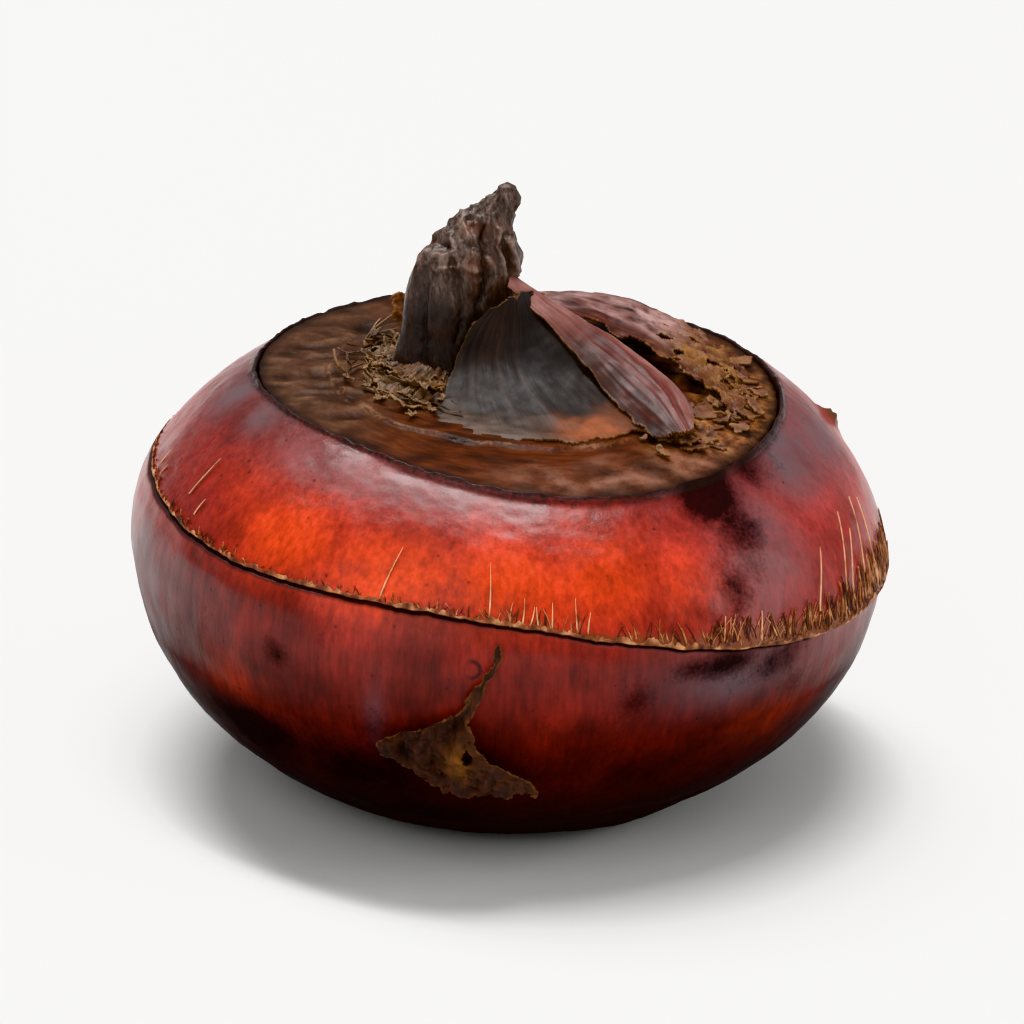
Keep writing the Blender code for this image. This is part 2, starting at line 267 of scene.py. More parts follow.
def near_spot(degrees, height, wide, tall):
    """1 at a spot of the skin, given by its angle and height, falling to 0 over its size in millimetres."""
    across = (angle_of - math.radians(degrees) + math.pi) % (2.0 * math.pi) - math.pi
    return np.exp(-(across * CORM_RADIUS / wide) ** 2 - ((corm_height - height) / tall) ** 2)


# A corky scab stands a little off the right shoulder
scab = near_spot(17.0, 19.9, 0.55, 0.65)
push += scab * (0.55 + 0.25 * rough(corm_points, 0.4, 2))
corm_points = pushed_out(corm_points, push, True)
corm_points[:, :, 2] = np.maximum(corm_points[:, :, 2], 0.0)

# Where the skin is blackened, bloomed grey or brightest orange, with some painted light and shade among them
# as noted at each list. Each patch has its angle in degrees, its height, half width and half height in
# millimetres, and its strength.
# Black patches; the two broad ones low at the front left, at -134 and -112 degrees, are partly painted shade
# at the foot
BLACKENED = [(-48, 22.1, 3.0, 1.5, 1.4), (-46, 20.4, 2.0, 2.2, 1.0), (-51, 17.6, 1.4, 2.4, 0.75),
             (-60, 22.9, 3.0, 0.7, 0.8), (-34, 22.5, 3.0, 1.1, 0.85), (-165, 21.6, 1.6, 1.2, 0.3),
             (-166, 18.6, 6.0, 2.6, 0.42), (-75, 11.0, 1.8, 1.0, 0.5), (-38, 11.5, 1.8, 1.3, 0.5),
             (-108, 10.2, 2.4, 1.4, 0.55), (-139, 18.6, 1.1, 0.6, 0.6), (-54, 13.9, 4.0, 0.9, 1.0),
             (-44, 13.4, 3.0, 1.2, 0.85), (-126, 13.4, 1.0, 0.8, 0.7), (-150, 12.0, 1.0, 1.3, 0.35),
             (-84, 14.0, 1.6, 1.5, 0.3), (-118, 15.5, 1.6, 1.2, 0.25), (-134, 7.4, 4.2, 2.2, 1.3),
             (-112, 7.0, 6.0, 2.4, 1.0), (40, 20.5, 3.0, 2.5, 0.8), (95, 19.0, 4.0, 2.5, 0.7),
             (140, 13.0, 4.0, 3.0, 0.6), (60, 11.0, 4.5, 3.0, 0.7), (-68, 12.2, 1.4, 1.6, 0.6)]
# Grey bloom; the first two, by the ring at the left, are partly painted shade of the ring, and the last two,
# just under the ring at the front left, are partly painted highlight
GREYED = [(-173, 22.6, 2.4, 1.1, 1.0), (-156, 22.9, 2.0, 0.8, 0.8), (-42, 19.6, 3.6, 3.2, 0.85),
          (-20, 21.9, 5.5, 1.9, 1.1), (0, 21.0, 5.5, 2.0, 1.0), (-52, 13.0, 4.8, 1.7, 1.15),
          (-109, 11.0, 0.7, 2.2, 0.7), (-165, 13.0, 4.0, 3.0, 0.4), (120, 21.5, 5.0, 1.5, 0.8),
          (170, 12.0, 4.0, 3.0, 0.4), (-128, 22.3, 5.5, 0.8, 0.5), (-106, 22.2, 5.0, 0.7, 0.35)]
# Brightest orange: partly the skin's own orange, partly painted light where the band faces the lamps
ORANGE_AND_LIT = [(-128, 19.4, 4.6, 2.0, 0.85), (-108, 18.9, 5.0, 1.9, 1.0), (-90, 18.9, 4.6, 2.0, 1.0),
             (-74, 19.3, 4.0, 2.0, 0.75), (-60, 18.6, 3.0, 2.0, 0.4), (-142, 20.6, 3.6, 1.4, 0.3),
             (20, 18.5, 5.0, 2.0, 0.3), (150, 19.5, 5.0, 2.0, 0.45), (-137, 10.7, 2.8, 1.3, 0.2),
             (-45, 9.8, 3.2, 1.4, 0.2)]


def patches(spots):
    total = np.zeros_like(corm_height)
    for degrees, height, wide, tall, strength in spots:
        total = np.maximum(total, strength * near_spot(degrees, height, wide, tall))
    return total


def closed_round_object(name, points, bottom, top, marks):
    """A closed round piece: a grid of points wrapped round, with a fan of faces at each end."""
    rows, columns = points.shape[:2]
    faces = quads(rows, columns, True)
    after = (np.arange(columns) + 1) % columns
    under, over = rows * columns, rows * columns + 1
    faces += [[under, int(after[column]), column] for column in range(columns)]
    faces += [[over, (rows - 1) * columns + column, (rows - 1) * columns + int(after[column])]
              for column in range(columns)]
    marks = {key: with_poles(value, np.ravel(value[0, 0]), np.ravel(value[-1, 0]))
             for key, value in marks.items()}
    return mesh_object(name, with_poles(points, bottom, top), faces, marks)


corm = closed_round_object("corm_body", corm_points, (0.0, 0.0, 0.65), (0.0, 0.0, CROWN_CENTRE_HEIGHT),
                           {"above_seam": corm_height - seam, "past_ring": corm_radius - ring,
                            "blackened": patches(BLACKENED), "greyed": patches(GREYED),
                            "orange_and_lit": patches(ORANGE_AND_LIT),
                            "deepened": np.maximum(wave(angle_of, 1, 176), 0.0) ** 2,
                            "stained": np.maximum(wave(angle_of, 1, -28), 0.0) ** 2, "scab": scab,
                            "drawn_out": creased, "height": corm_height})


def linear(colour):
    """A colour written in sRGB hex, turned to linear light."""
    channels = [int(colour[index:index + 2], 16) / 255.0 for index in (1, 3, 5)]
    return (*[c / 12.92 if c <= 0.04045 else ((c + 0.055) / 1.055) ** 2.4 for c in channels], 1.0)


def feed(tree, node, links):
    """Sets inputs of a node to constants or hex colours, or links them to the nodes or sockets given."""
    for key, value in links.items():
        if isinstance(value, bpy.types.Node):
            value = next(out for out in value.outputs if out.enabled)
        if isinstance(value, bpy.types.NodeSocket):
            tree.links.new(value, node.inputs[key])
        else:
            node.inputs[key].default_value = linear(value) if isinstance(value, str) else value


def add(tree, kind, links=None, stops=None, **settings):
    """Adds a shader node with its settings, the colour stops of a ramp, and what feeds its inputs."""
    node = tree.nodes.new("ShaderNode" + kind)
    for name, value in settings.items():
        setattr(node, name, value)
    if stops:
        while len(node.color_ramp.elements) < len(stops):
            node.color_ramp.elements.new(0.5)
        for element, (place, colour) in zip(node.color_ramp.elements, stops):
            element.position = place
            element.color = linear(colour)
    feed(tree, node, links or {})
    return node


def new_material(name, links, marks=()):
    """A material, its tree and Principled shader, the place in the piece, and the marks that it reads."""
    material = bpy.data.materials.new(name)
    material.use_nodes = True
    tree = material.node_tree
    shader = tree.nodes["Principled BSDF"]
    feed(tree, shader, links)
    place = add(tree, "TexCoord").outputs["Object"]
    mark = {key: add(tree, "Attribute", attribute_name=key).outputs["Fac"] for key in marks}
    return material, tree, shader, place, mark


# Corm skin: a hard, waxy, lacquer-like plant skin, so it gives a broad soft glare with a thin clear sheen
# that is worn off toward the foot. Orange red above and maroon below, near black at the foot, with black and
# grey blooms; the near black foot is partly painted shade, and the brightest orange partly painted light.
corm_skin, tree, shader, place, mark = new_material(
    "corm_skin", {"IOR": 1.46, "Coat Roughness": 0.24, "Coat IOR": 1.45},
    ("height", "above_seam", "past_ring", "orange_and_lit", "greyed", "blackened", "deepened", "stained", "scab"))
STREAK_MM = 0.35
GRAIN_MM = 0.22
SPECK_MM = 0.9
MOTTLE_MM = 2.6
CLOUD_MM = 6.5
SKIN_TOP = 23.0
mottle, grain, clouds = [
    add(tree, "TexNoise", {"Vector": place, "Scale": 1.0 / (size * MM), "Detail": detail, "Roughness": 0.6})
    for size, detail in ((MOTTLE_MM, 5.0), (GRAIN_MM, 3.0), (CLOUD_MM, 3.0))]
drawn_out = add(tree, "Attribute", attribute_name="drawn_out").outputs["Vector"]
streaks = add(tree, "TexNoise", {"Vector": drawn_out, "Scale": 0.45 / STREAK_MM, "Detail": 4.0,
                                 "Roughness": 0.65})
# The base colour darkens from red through maroon to near black toward the foot: partly the skin's own
# colour, partly painted shade at the foot
share_up = add(tree, "Math", {0: mark["height"], 1: SKIN_TOP}, operation="DIVIDE")
colour = add(tree, "ValToRGB", {0: share_up},
             stops=[(0.0, "#0a0404"), (0.2, "#1c0605"), (0.34, "#320906"), (0.46, "#54130b"),
                    (0.6, "#7e261f"), (0.72, "#932b22"), (0.86, "#a1312a"), (1.0, "#742926")])
# Brightest orange, partly painted light, broken up by the mottling
patchy = add(tree, "Math", {0: mottle, 1: 0.45}, operation="ADD")
orange_and_lit_part = add(tree, "Math", {0: mark["orange_and_lit"], 1: patchy}, operation="MULTIPLY", use_clamp=True)
streak_shade = add(tree, "MapRange", {0: streaks, 1: 0.3, 2: 0.7, 3: 0.62, 4: 1.24})
mottle_shade = add(tree, "MapRange", {0: mottle, 1: 0.3, 2: 0.7, 3: 0.66, 4: 1.22})
deep_shade = add(tree, "MapRange", {0: mark["deepened"], 1: 0.2, 2: 1.0, 3: 1.0, 4: 0.7})
low_down = add(tree, "MapRange", {0: mark["above_seam"], 1: -1.5, 2: 0.5, 3: 1.0, 4: 0.3})
cloud_shade = add(tree, "MapRange", {0: clouds, 1: 0.38, 2: 0.62, 3: 0.5, 4: 1.12})

# Blooms and specks, broken up by the mottling and the grain
bloom = add(tree, "Math", {0: mottle, 1: 1.5}, operation="MULTIPLY")
grey_part = add(tree, "Math", {0: mark["greyed"], 1: bloom}, operation="MULTIPLY", use_clamp=True)
broken = add(tree, "Math", {0: bloom, 1: mark["blackened"]}, operation="ADD")
broken = add(tree, "Math", {0: grain, 1: 0.6, 2: broken}, operation="MULTIPLY_ADD")
black_part = add(tree, "MapRange", {0: broken, 1: 1.3, 2: 2.0, 3: 0.0, 4: 0.93})
cells = add(tree, "TexVoronoi", {"Vector": place, "Scale": 1.0 / (SPECK_MM * MM), "Randomness": 1.0})
speck = add(tree, "MapRange", {0: cells.outputs["Distance"], 1: 0.06, 2: 0.16, 3: 1.0, 4: 0.0})
chosen = add(tree, "MapRange", {0: cells.outputs["Color"], 1: 0.62, 2: 0.7, 3: 0.0, 4: 0.65})
speck_part = add(tree, "Math", {0: speck, 1: chosen}, operation="MULTIPLY")

# The tan stain over the node line, the groove under it in painted shade, the dark ring with painted shade
# just under its lip, and the scab
frayed = add(tree, "Math", {0: streaks, 1: 0.8, 2: mark["above_seam"]}, operation="MULTIPLY_ADD")
frayed = add(tree, "Math", {0: frayed, 1: 0.4}, operation="SUBTRACT")
stain_height = add(tree, "MapRange", {0: mark["stained"], 1: 0.3, 2: 1.0, 3: 0.2, 4: 1.5})
share_of_stain = add(tree, "Math", {0: frayed, 1: stain_height}, operation="DIVIDE")
stain = add(tree, "MapRange", {0: share_of_stain, 1: 0.0, 2: 1.0, 3: 0.85, 4: 0.0})
over_lip = add(tree, "MapRange", {0: mark["above_seam"], 1: -0.02, 2: 0.03, 3: 0.0, 4: 1.0})
tan_part = add(tree, "Math", {0: stain, 1: over_lip}, operation="MULTIPLY")
# Painted shade: near black in the groove under the node line's lip
off_groove = add(tree, "Math", {0: mark["above_seam"], 1: 0.14}, operation="ADD")
off_groove = add(tree, "Math", {0: off_groove}, operation="ABSOLUTE")
groove_shade = add(tree, "MapRange", {0: off_groove, 1: 0.07, 2: 0.26, 3: 0.92, 4: 0.0})
# The ring's own dark colour, spread as painted shade over the skin just under its lip
ring_gap = add(tree, "Math", {0: grain, 1: 0.7, 2: mark["past_ring"]}, operation="MULTIPLY_ADD")
ring_and_shade = add(tree, "MapRange", {0: ring_gap, 1: 0.45, 2: 0.83, 3: 0.95, 4: 0.0})
scab_part = add(tree, "Math", {0: mark["scab"], 1: 1.6}, operation="MULTIPLY", use_clamp=True)

# A healed nick under the node line: a small dark ring, open at its left
NICK_ANGLE, NICK_HEIGHT, NICK_RADIUS = math.radians(-94.4), 14.5, 0.5
nick_middle = AXIS + Vector((CORM_RADIUS * math.cos(NICK_ANGLE), CORM_RADIUS * math.sin(NICK_ANGLE),
                             NICK_HEIGHT))
from_nick = add(tree, "VectorMath", {0: place, 1: nick_middle * MM}, operation="DISTANCE").outputs["Value"]
off_nick = add(tree, "Math", {0: from_nick, 1: NICK_RADIUS * MM}, operation="SUBTRACT")
off_nick = add(tree, "Math", {0: off_nick}, operation="ABSOLUTE")
nick = add(tree, "MapRange", {0: off_nick, 1: 0.05 * MM, 2: 0.17 * MM, 3: 1.0, 4: 0.0})
closed_side = add(tree, "MapRange", {0: add(tree, "SeparateXYZ", {0: place}), 1: (nick_middle.x - 0.4) * MM,
                                     2: (nick_middle.x + 0.1) * MM, 3: 0.0, 4: 0.95})
nick_part = add(tree, "Math", {0: nick, 1: closed_side}, operation="MULTIPLY")

# What shades or covers the skin's base colour, in the order that it is laid on; some layers are painted
# light and shade, as noted where their masks are made
for blend, share, paint in (("MIX", orange_and_lit_part, "#de430c"), ("MULTIPLY", 1.0, streak_shade),
                            ("MULTIPLY", 1.0, mottle_shade), ("MULTIPLY", 1.0, deep_shade),
                            ("MULTIPLY", low_down, cloud_shade), ("MIX", grey_part, "#5c4c50"),
                            ("MIX", black_part, "#0d0606"), ("MIX", speck_part, "#1a0806"),
                            ("MIX", tan_part, "#74482a"), ("MIX", groove_shade, "#120706"),
                            ("MIX", ring_and_shade, "#1d100d"), ("MIX", scab_part, "#5e3a2a"),
                            ("MIX", nick_part, "#3a0e0b")):
    colour = add(tree, "Mix", {0: share, 6: colour, 7: paint}, data_type="RGBA", blend_type=blend)
gloss = add(tree, "MapRange", {0: mottle, 1: 0.3, 2: 0.7, 3: 0.3, 4: 0.44})
dull = add(tree, "Math", {0: grey_part, 1: ring_and_shade}, operation="MAXIMUM")
dull = add(tree, "Math", {0: dull, 1: groove_shade}, operation="MAXIMUM")
dulled = add(tree, "Math", {0: dull, 1: 0.35, 2: gloss}, operation="MULTIPLY_ADD")
wax = add(tree, "MapRange", {0: mark["height"], 1: 9.8, 2: 15.6, 3: 0.04, 4: 1.0})
unbroken = add(tree, "MapRange", {0: black_part, 1: 0.0, 2: 1.0, 3: 1.0, 4: 0.25})
wax = add(tree, "Math", {0: wax, 1: unbroken}, operation="MULTIPLY")
sheen = add(tree, "Math", {0: wax, 1: 0.22}, operation="MULTIPLY")
shine = add(tree, "Math", {0: wax, 1: 0.42}, operation="MULTIPLY")
relief = add(tree, "Math", {0: grain, 1: 0.5}, operation="MULTIPLY")
relief = add(tree, "Math", {0: streaks, 1: 0.6, 2: relief}, operation="MULTIPLY_ADD")
bump = add(tree, "Bump", {"Height": relief, "Strength": 0.42, "Distance": 0.06 * MM})
feed(tree, shader, {"Base Color": colour, "Roughness": dulled, "Coat Weight": sheen,
                    "Specular IOR Level": shine, "Normal": bump})
corm.data.materials.append(corm_skin)
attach(corm, "root")
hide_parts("corm")


# The fringe on the node line is what is left of a papery leaf sheath that grew from it: a low ragged
# strip with stiff fibres that point up and lie close to the skin, longest at the front and right.

FRINGE_COLUMNS, FRINGE_ROWS = 1500, 5
rng = np.random.default_rng(576)


def on_skin(angle, height, stand_off):
    """Points that stand off the upper flank by a distance in millimetres."""
    lean = (height - WIDEST_HEIGHT) / UPPER_SEMI_HEIGHT ** 2
    across = flank(height, angle) / CORM_RADIUS ** 2
    length = np.hypot(lean, across)
    radius = flank(height, angle) + stand_off * across / length
    raised = height + stand_off * lean / length
    return np.stack([radius * np.cos(angle), radius * np.sin(angle), raised], axis=-1)


angle, up = grid_of(FRINGE_COLUMNS, FRINGE_ROWS, True)
around_seam = np.stack([np.cos(angle[0]), np.sin(angle[0]), 0.0 * angle[0]], axis=1) * CORM_RADIUS
seam_level = seam_height(angle[0]) + np.interp(angle[0], turn, fray, period=2.0 * math.pi)
overhang_here = 0.15 + 0.25 * np.maximum(wave(angle[0], 1, -20), 0.0)
ragged = 0.12 + 0.17 * rough(around_seam, 0.9, 4) + 0.16 * rough(around_seam + 9.0, 0.25, 2)
ragged = np.maximum(ragged, 0.04) * (1.0 + 0.6 * np.maximum(wave(angle[0], 1, -40), 0.0))
strip_points = on_skin(angle, seam_level - 0.03 + up * ragged, overhang_here + 0.05 + 0.04 * up)
spots = [strip_points.reshape(-1, 3)]
faces = quads(FRINGE_ROWS, FRINGE_COLUMNS, True)
tone = [np.broadcast_to(rough(around_seam + 20.0, 0.5, 2), angle.shape).ravel()]

# Long fibres, each from an angle and height on the skin to another: degrees, millimetres
LONG_FIBRES = [(-109.7, 17.5, -107.7, 20.1), (-92.2, 17.3, -92.6, 19.8), (-88.9, 16.9, -88.6, 18.1),
               (-87.1, 16.9, -86.8, 18.3), (-85.9, 16.9, -85.2, 17.9), (-84.6, 16.9, -84.9, 17.9),
               (-82.5, 16.8, -82.4, 18.1), (-78.6, 16.6, -78.7, 18.3), (-77.0, 16.5, -76.4, 17.6),
               (-55.0, 15.0, -54.0, 16.6), (-48.0, 14.9, -47.0, 16.4), (-45.0, 14.9, -46.5, 16.0),
               (-35.0, 15.3, -30.0, 18.2), (-27.0, 15.6, -20.0, 19.0), (-25.0, 15.3, -19.0, 18.0),
               (-20.0, 15.7, -13.0, 19.0), (-15.0, 15.7, -10.0, 18.6), (-169.0, 18.2, -167.5, 18.9),
               (-172.0, 18.4, -171.0, 19.3), (-155.0, 18.9, -153.5, 20.9), (-150.5, 18.3, -149.5, 19.2)]
LONG_WIDTH = 0.09
SHORT_FIBRES, RIGHT_FIBRES = 1100, 420
fibres = [(foot, bottom, tip, top, LONG_WIDTH) for foot, bottom, tip, top in LONG_FIBRES]
for degrees in rng.uniform(-180.0, 180.0, SHORT_FIBRES):
    dense = max(0.0, math.cos(math.radians(degrees + 42.0))) ** 2
    if rng.random() > 0.3 + 0.7 * dense:
        continue
    bottom = float(seam_height(math.radians(degrees))) + 0.02
    length = rng.uniform(0.15, 0.5) + dense * rng.uniform(0.0, 1.0) ** 2 * 1.3
    fibres.append((degrees, bottom, degrees + rng.uniform(-1.6, 1.6), bottom + length,
                   rng.uniform(0.05, 0.1)))
for degrees in rng.uniform(-58.0, 12.0, RIGHT_FIBRES):
    length = rng.uniform(0.3, 1.4) + 1.7 * math.exp(-((degrees + 14.0) / 15.0) ** 2) * rng.random()
    bottom = float(seam_height(math.radians(degrees))) + rng.uniform(0.0, 0.5)
    fibres.append((degrees, bottom, degrees + rng.uniform(-1.0, 4.0), bottom + length,
                   rng.uniform(0.05, 0.08)))
FIBRE_ROWS = 7
for foot, bottom, tip, top, width in fibres:
    t = np.linspace(0.0, 1.0, FIBRE_ROWS)
    bend = rng.uniform(-0.8, 0.8) * t * (1.0 - t)
    middle = np.radians(mix(foot, tip, t ** 1.3) + bend)
    half = 0.5 * width * (1.0 - 0.85 * t ** 2) / CORM_RADIUS
    sides = np.stack([middle - half, middle + half], axis=1)
    heights = np.repeat(mix(bottom, top, t)[:, None], 2, axis=1)
    loose = 0.3 * max(0.0, math.cos(math.radians(foot + 20.0)))
    lift = 0.12 + loose * (1.0 - t[:, None]) + 0.1 * t[:, None] ** 2
    faces += quads(FIBRE_ROWS, 2, first_point=sum(len(part) for part in spots))
    spots.append(on_skin(sides, heights, lift + 0.0 * sides).reshape(-1, 3))
    tone.append(np.full(2 * FIBRE_ROWS, 1.2 if width == LONG_WIDTH else rng.uniform(-1.3, 0.8)))
fringe = mesh_object("node_line_fringe", np.vstack(spots), faces, {"tone": np.concatenate(tone)})
thicken(fringe, 0.05)

# Dry sheath fibre: like coarse straw, pale gold where it is clean and brown where it is stained
straw, tree, shader, place, mark = new_material(
    "dry_sheath_fibre", {"IOR": 1.45, "Roughness": 0.6}, ("tone",))
stain = add(tree, "TexNoise", {"Vector": place, "Scale": 1.0 / (0.8 * MM), "Detail": 3.0})
shade = add(tree, "Math", {0: mark["tone"], 1: 0.22, 2: stain}, operation="MULTIPLY_ADD")
straw_colour = add(tree, "ValToRGB", {0: shade},
                   stops=[(0.3, "#3b1d10"), (0.5, "#80492c"), (0.68, "#bd855c"), (0.85, "#e2ab86")])
feed(tree, shader, {"Base Color": straw_colour})
fringe.data.materials.append(straw)
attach(fringe, "root")


# The crown scale is the dead leaf base of the ring's node: a tough, leathery brown sheet that lies on
# the crown inside the ring and rises a little round the bud, which stands in its middle.

SCALE_TOP = 1.04
BUD_X = -3.3


def scale_top(x, y):
    return crown_height(x, y) + SCALE_TOP


def creases(points, size, depth=2):
    """Sharp creases: 1 along each crease, falling to about -1 between them."""
    return 1.0 - 2.2 * np.abs(rough(points, size, depth))


def side_mask(x, y, degrees, half_width):
    """1 round one side of the crown, falling smoothly to 0 at the half width in degrees."""
    off = np.abs((np.degrees(np.arctan2(y, x)) - degrees + 180.0) % 360.0 - 180.0)
    return 1.0 - smooth_step(0.35 * half_width, half_width, off)


def spot_mask(x, y, middle_x, middle_y, radius):
    return np.exp(-((x - middle_x) ** 2 + (y - middle_y) ** 2) / radius ** 2)


CROWN_COLUMNS, CROWN_ROWS = 370, 80
u, v = grid_of(CROWN_COLUMNS, CROWN_ROWS, True)
ring_edge = ring_radius(u) - 0.2 - 0.06 * rough(np.stack([np.cos(u), np.sin(u), 0.0 * u], 2) * 15.0, 0.8)
x = mix(ring_edge * np.cos(u), BUD_X + 3.3 * np.cos(u), v)
y = mix(ring_edge * np.sin(u), 2.8 * np.sin(u), v)
flat = np.stack([x, y, 0.0 * x], axis=2)
from_middle = np.hypot(x, y)
polar = np.stack([6.0 * np.cos(u), 6.0 * np.sin(u), 2.6 * from_middle], axis=2)
on_left, on_right = side_mask(x, y, 172, 80), side_mask(x, y, -6, 54)
inside = smooth_step(0.06, 0.3, v) * (1.0 - smooth_step(0.92, 1.0, v))
wrinkles = creases(flat * np.array([0.8, 1.5, 1.0]) + 3.0, 2.6, 2)
crumble = creases(flat + 14.0, 1.2, 3)
step_at = 10.3 + 0.5 * rough(flat, 3.0, 3)
terrace = 0.22 * (1.0 - smooth_step(step_at - 0.12, step_at + 0.12, from_middle)) * (1.0 - on_right)
relief = inside * (0.2 * on_left * wrinkles + 0.24 * on_right * crumble)
# Painted shade on the crown under the flakes at its right, laid on through the relief mark
shaded_under_flakes = spot_mask(x, y, 7.4, -0.6, 4.2)
# Pale grey near the ring at the front right: partly the leaf's own grey, partly painted highlight
grey_and_lit = side_mask(x, y, -60, 44) * smooth_step(11.2, 13.0, from_middle + 0.9 * rough(flat, 1.8))
golden = on_right * smooth_step(9.0, 11.0, from_middle + 0.8 * rough(flat, 1.5))
relief += 0.02 * creases(polar, 1.6) + 0.02 * rough(flat, 0.5) + 0.1 * rough(flat, 4.0)
height = scale_top(x, y) - 0.05 + terrace + relief + 0.6 * smooth_step(0.86, 1.0, v)
height += 0.3 * side_mask(x, y, 110, 110) * (1.0 - smooth_step(0.0, 0.3, v))
crown_scale = mesh_object("crown_leaf_base", np.stack([x, y, height], 2).reshape(-1, 3),
                          quads(CROWN_ROWS, CROWN_COLUMNS, True),
                          {"relief": mix(wrinkles, crumble, on_right) - 0.9 * shaded_under_flakes, "rings": polar,
                           "on_left": on_left, "on_right": on_right, "golden": golden,
                           "grey_and_lit": grey_and_lit, "from_edge": v * 11.0,
                           "past_step": from_middle - step_at})
thicken(crown_scale, 0.35)

# Dead leaf base: thick dry plant tissue like old leather, satin where it is smooth, with growth rings
crown_leaf, tree, shader, place, mark = new_material(
    "dry_leaf_base", {"IOR": 1.45, "Specular IOR Level": 0.26},
    ("on_left", "on_right", "golden", "grey_and_lit", "relief", "past_step", "from_edge"))
GROWTH_RING_MM = 0.4
WEATHER_STAIN_MM = 1.5
FIBRE_MM = 0.25
along_rings = add(tree, "Attribute", attribute_name="rings").outputs["Vector"]
rings = add(tree, "TexNoise", {"Vector": along_rings, "Scale": 0.5 / GROWTH_RING_MM, "Detail": 4.0,
                               "Roughness": 0.6})
mottle = add(tree, "TexNoise", {"Vector": place, "Scale": 1.0 / (WEATHER_STAIN_MM * MM), "Detail": 6.0,
                                "Roughness": 0.65})
fibre = add(tree, "TexNoise", {"Vector": place, "Scale": 1.0 / (FIBRE_MM * MM), "Detail": 3.0})
colour = add(tree, "ValToRGB", {0: rings}, stops=[(0.25, "#2f1307"), (0.5, "#451d0a"), (0.75, "#5d3019")])
wrinkled_brown = add(tree, "ValToRGB", {0: mottle},
                     stops=[(0.3, "#35231a"), (0.5, "#4a3023"), (0.66, "#604534"), (0.85, "#836853")])
mottled_gold = add(tree, "ValToRGB", {0: mottle},
                   stops=[(0.36, "#23140c"), (0.47, "#5a3520"), (0.56, "#8c5833"), (0.7, "#c2935c")])
# The pale grey near the ring at the front right, partly painted highlight
faint = add(tree, "MapRange", {0: mottle, 1: 0.4, 2: 0.62, 3: 0.2, 4: 0.8})
faint = add(tree, "Math", {0: mark["grey_and_lit"], 1: faint}, operation="MULTIPLY")
# Painted shade: darker in the wrinkle hollows and under the flakes
shade = add(tree, "MapRange", {0: mark["relief"], 1: -0.6, 2: 0.8, 3: 0.3, 4: 1.15})
off_step = add(tree, "Math", {0: fibre, 1: 0.5, 2: mark["past_step"]}, operation="MULTIPLY_ADD")
off_step = add(tree, "Math", {0: off_step, 1: 0.2}, operation="SUBTRACT")
off_step = add(tree, "Math", {0: off_step}, operation="ABSOLUTE")
torn_step = add(tree, "MapRange", {0: off_step, 1: 0.02, 2: 0.13, 3: 0.8, 4: 0.0})
here_and_there = add(tree, "MapRange", {0: mottle, 1: 0.46, 2: 0.62, 3: 0.0, 4: 0.45})
not_right = add(tree, "Math", {0: 1.0, 1: mark["on_right"]}, operation="SUBTRACT")
for part in (here_and_there, not_right):
    torn_step = add(tree, "Math", {0: torn_step, 1: part}, operation="MULTIPLY")
rim = add(tree, "MapRange", {0: mark["from_edge"], 1: 0.1, 2: 0.8, 3: 0.85, 4: 0.0})
for blend, share, paint in (("MIX", mark["on_left"], wrinkled_brown), ("MIX", mark["golden"], mottled_gold),
                            ("MIX", faint, "#80594a"), ("MULTIPLY", 1.0, shade),
                            ("MIX", torn_step, "#a8805c"), ("MIX", rim, "#170d09")):
    colour = add(tree, "Mix", {0: share, 6: colour, 7: paint}, data_type="RGBA", blend_type=blend)
gloss = add(tree, "MapRange", {0: mottle, 1: 0.3, 2: 0.7, 3: 0.4, 4: 0.6})
grain = add(tree, "Math", {0: fibre, 1: 0.7, 2: rings}, operation="MULTIPLY_ADD")
bump = add(tree, "Bump", {"Height": grain, "Strength": 0.35, "Distance": 0.08 * MM})
feed(tree, shader, {"Base Color": colour, "Roughness": gloss, "Normal": bump})
crown_scale.data.materials.append(crown_leaf)
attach(crown_scale, "root")
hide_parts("crown_scale")


# The bud sheath is the last leaf round the shoot: dry, nearly black and crumpled, rolled so that one
# margin laps over the other, and drawn in at its top to a small hooked knob.

BUD_OUTLINE = [(23.0, -3.4, 3.2), (23.8, -3.5, 3.75), (26.2, -3.4, 3.35), (28.6, -3.3, 3.25),
               (30.2, -2.9, 3.1), (31.2, -2.65, 2.8), (32.3, -2.4, 2.15), (33.3, -1.9, 1.55),
               (33.9, -1.3, 1.1), (34.5, -1.0, 0.85), (34.95, -0.95, 0.55)]
BUD_COLUMNS, BUD_ROWS = 280, 240


def bud_points(angle, share):
    height, middle, half_width = np.moveaxis(through(BUD_OUTLINE, share), -1, 0)
    pleat = smooth_step(0.0, 0.15, share) * (1.0 - smooth_step(0.85, 1.0, share))
    pleat = pleat * mix(0.55, 1.0, smooth_step(0.4, 0.7, share))
    fold = 0.5 - 0.5 * np.cos(5.0 * angle + 2.2 * share + 0.6)
    crease = 0.5 - 0.5 * np.cos(11.0 * angle - 3.0 * share)
    radius = half_width * (0.99 - pleat * (0.08 * fold + 0.04 * crease))
    return np.stack([middle + radius * np.cos(angle), 0.8 * radius * np.sin(angle), height], axis=-1)


def near_line(points, line, width):
    """1 on a line across the front, given as (x, height) points, falling to 0 over its width."""
    here = points[:, :, [0, 2]] + 0.16 * np.stack([rough(points, 0.7), rough(points + 5.0, 0.7)], axis=2)
    nearest = np.full(here.shape[:2], 1e9)
    for start, end in zip(np.array(line)[:-1], np.array(line)[1:]):
        along = np.clip(((here - start) @ (end - start)) / ((end - start) @ (end - start)), 0.0, 1.0)
        off_line = np.linalg.norm(here - start - along[:, :, None] * (end - start), axis=2)
        nearest = np.minimum(nearest, off_line)
    return np.exp(-(nearest / width) ** 1.3) * (points[:, :, 1] < 0.0)


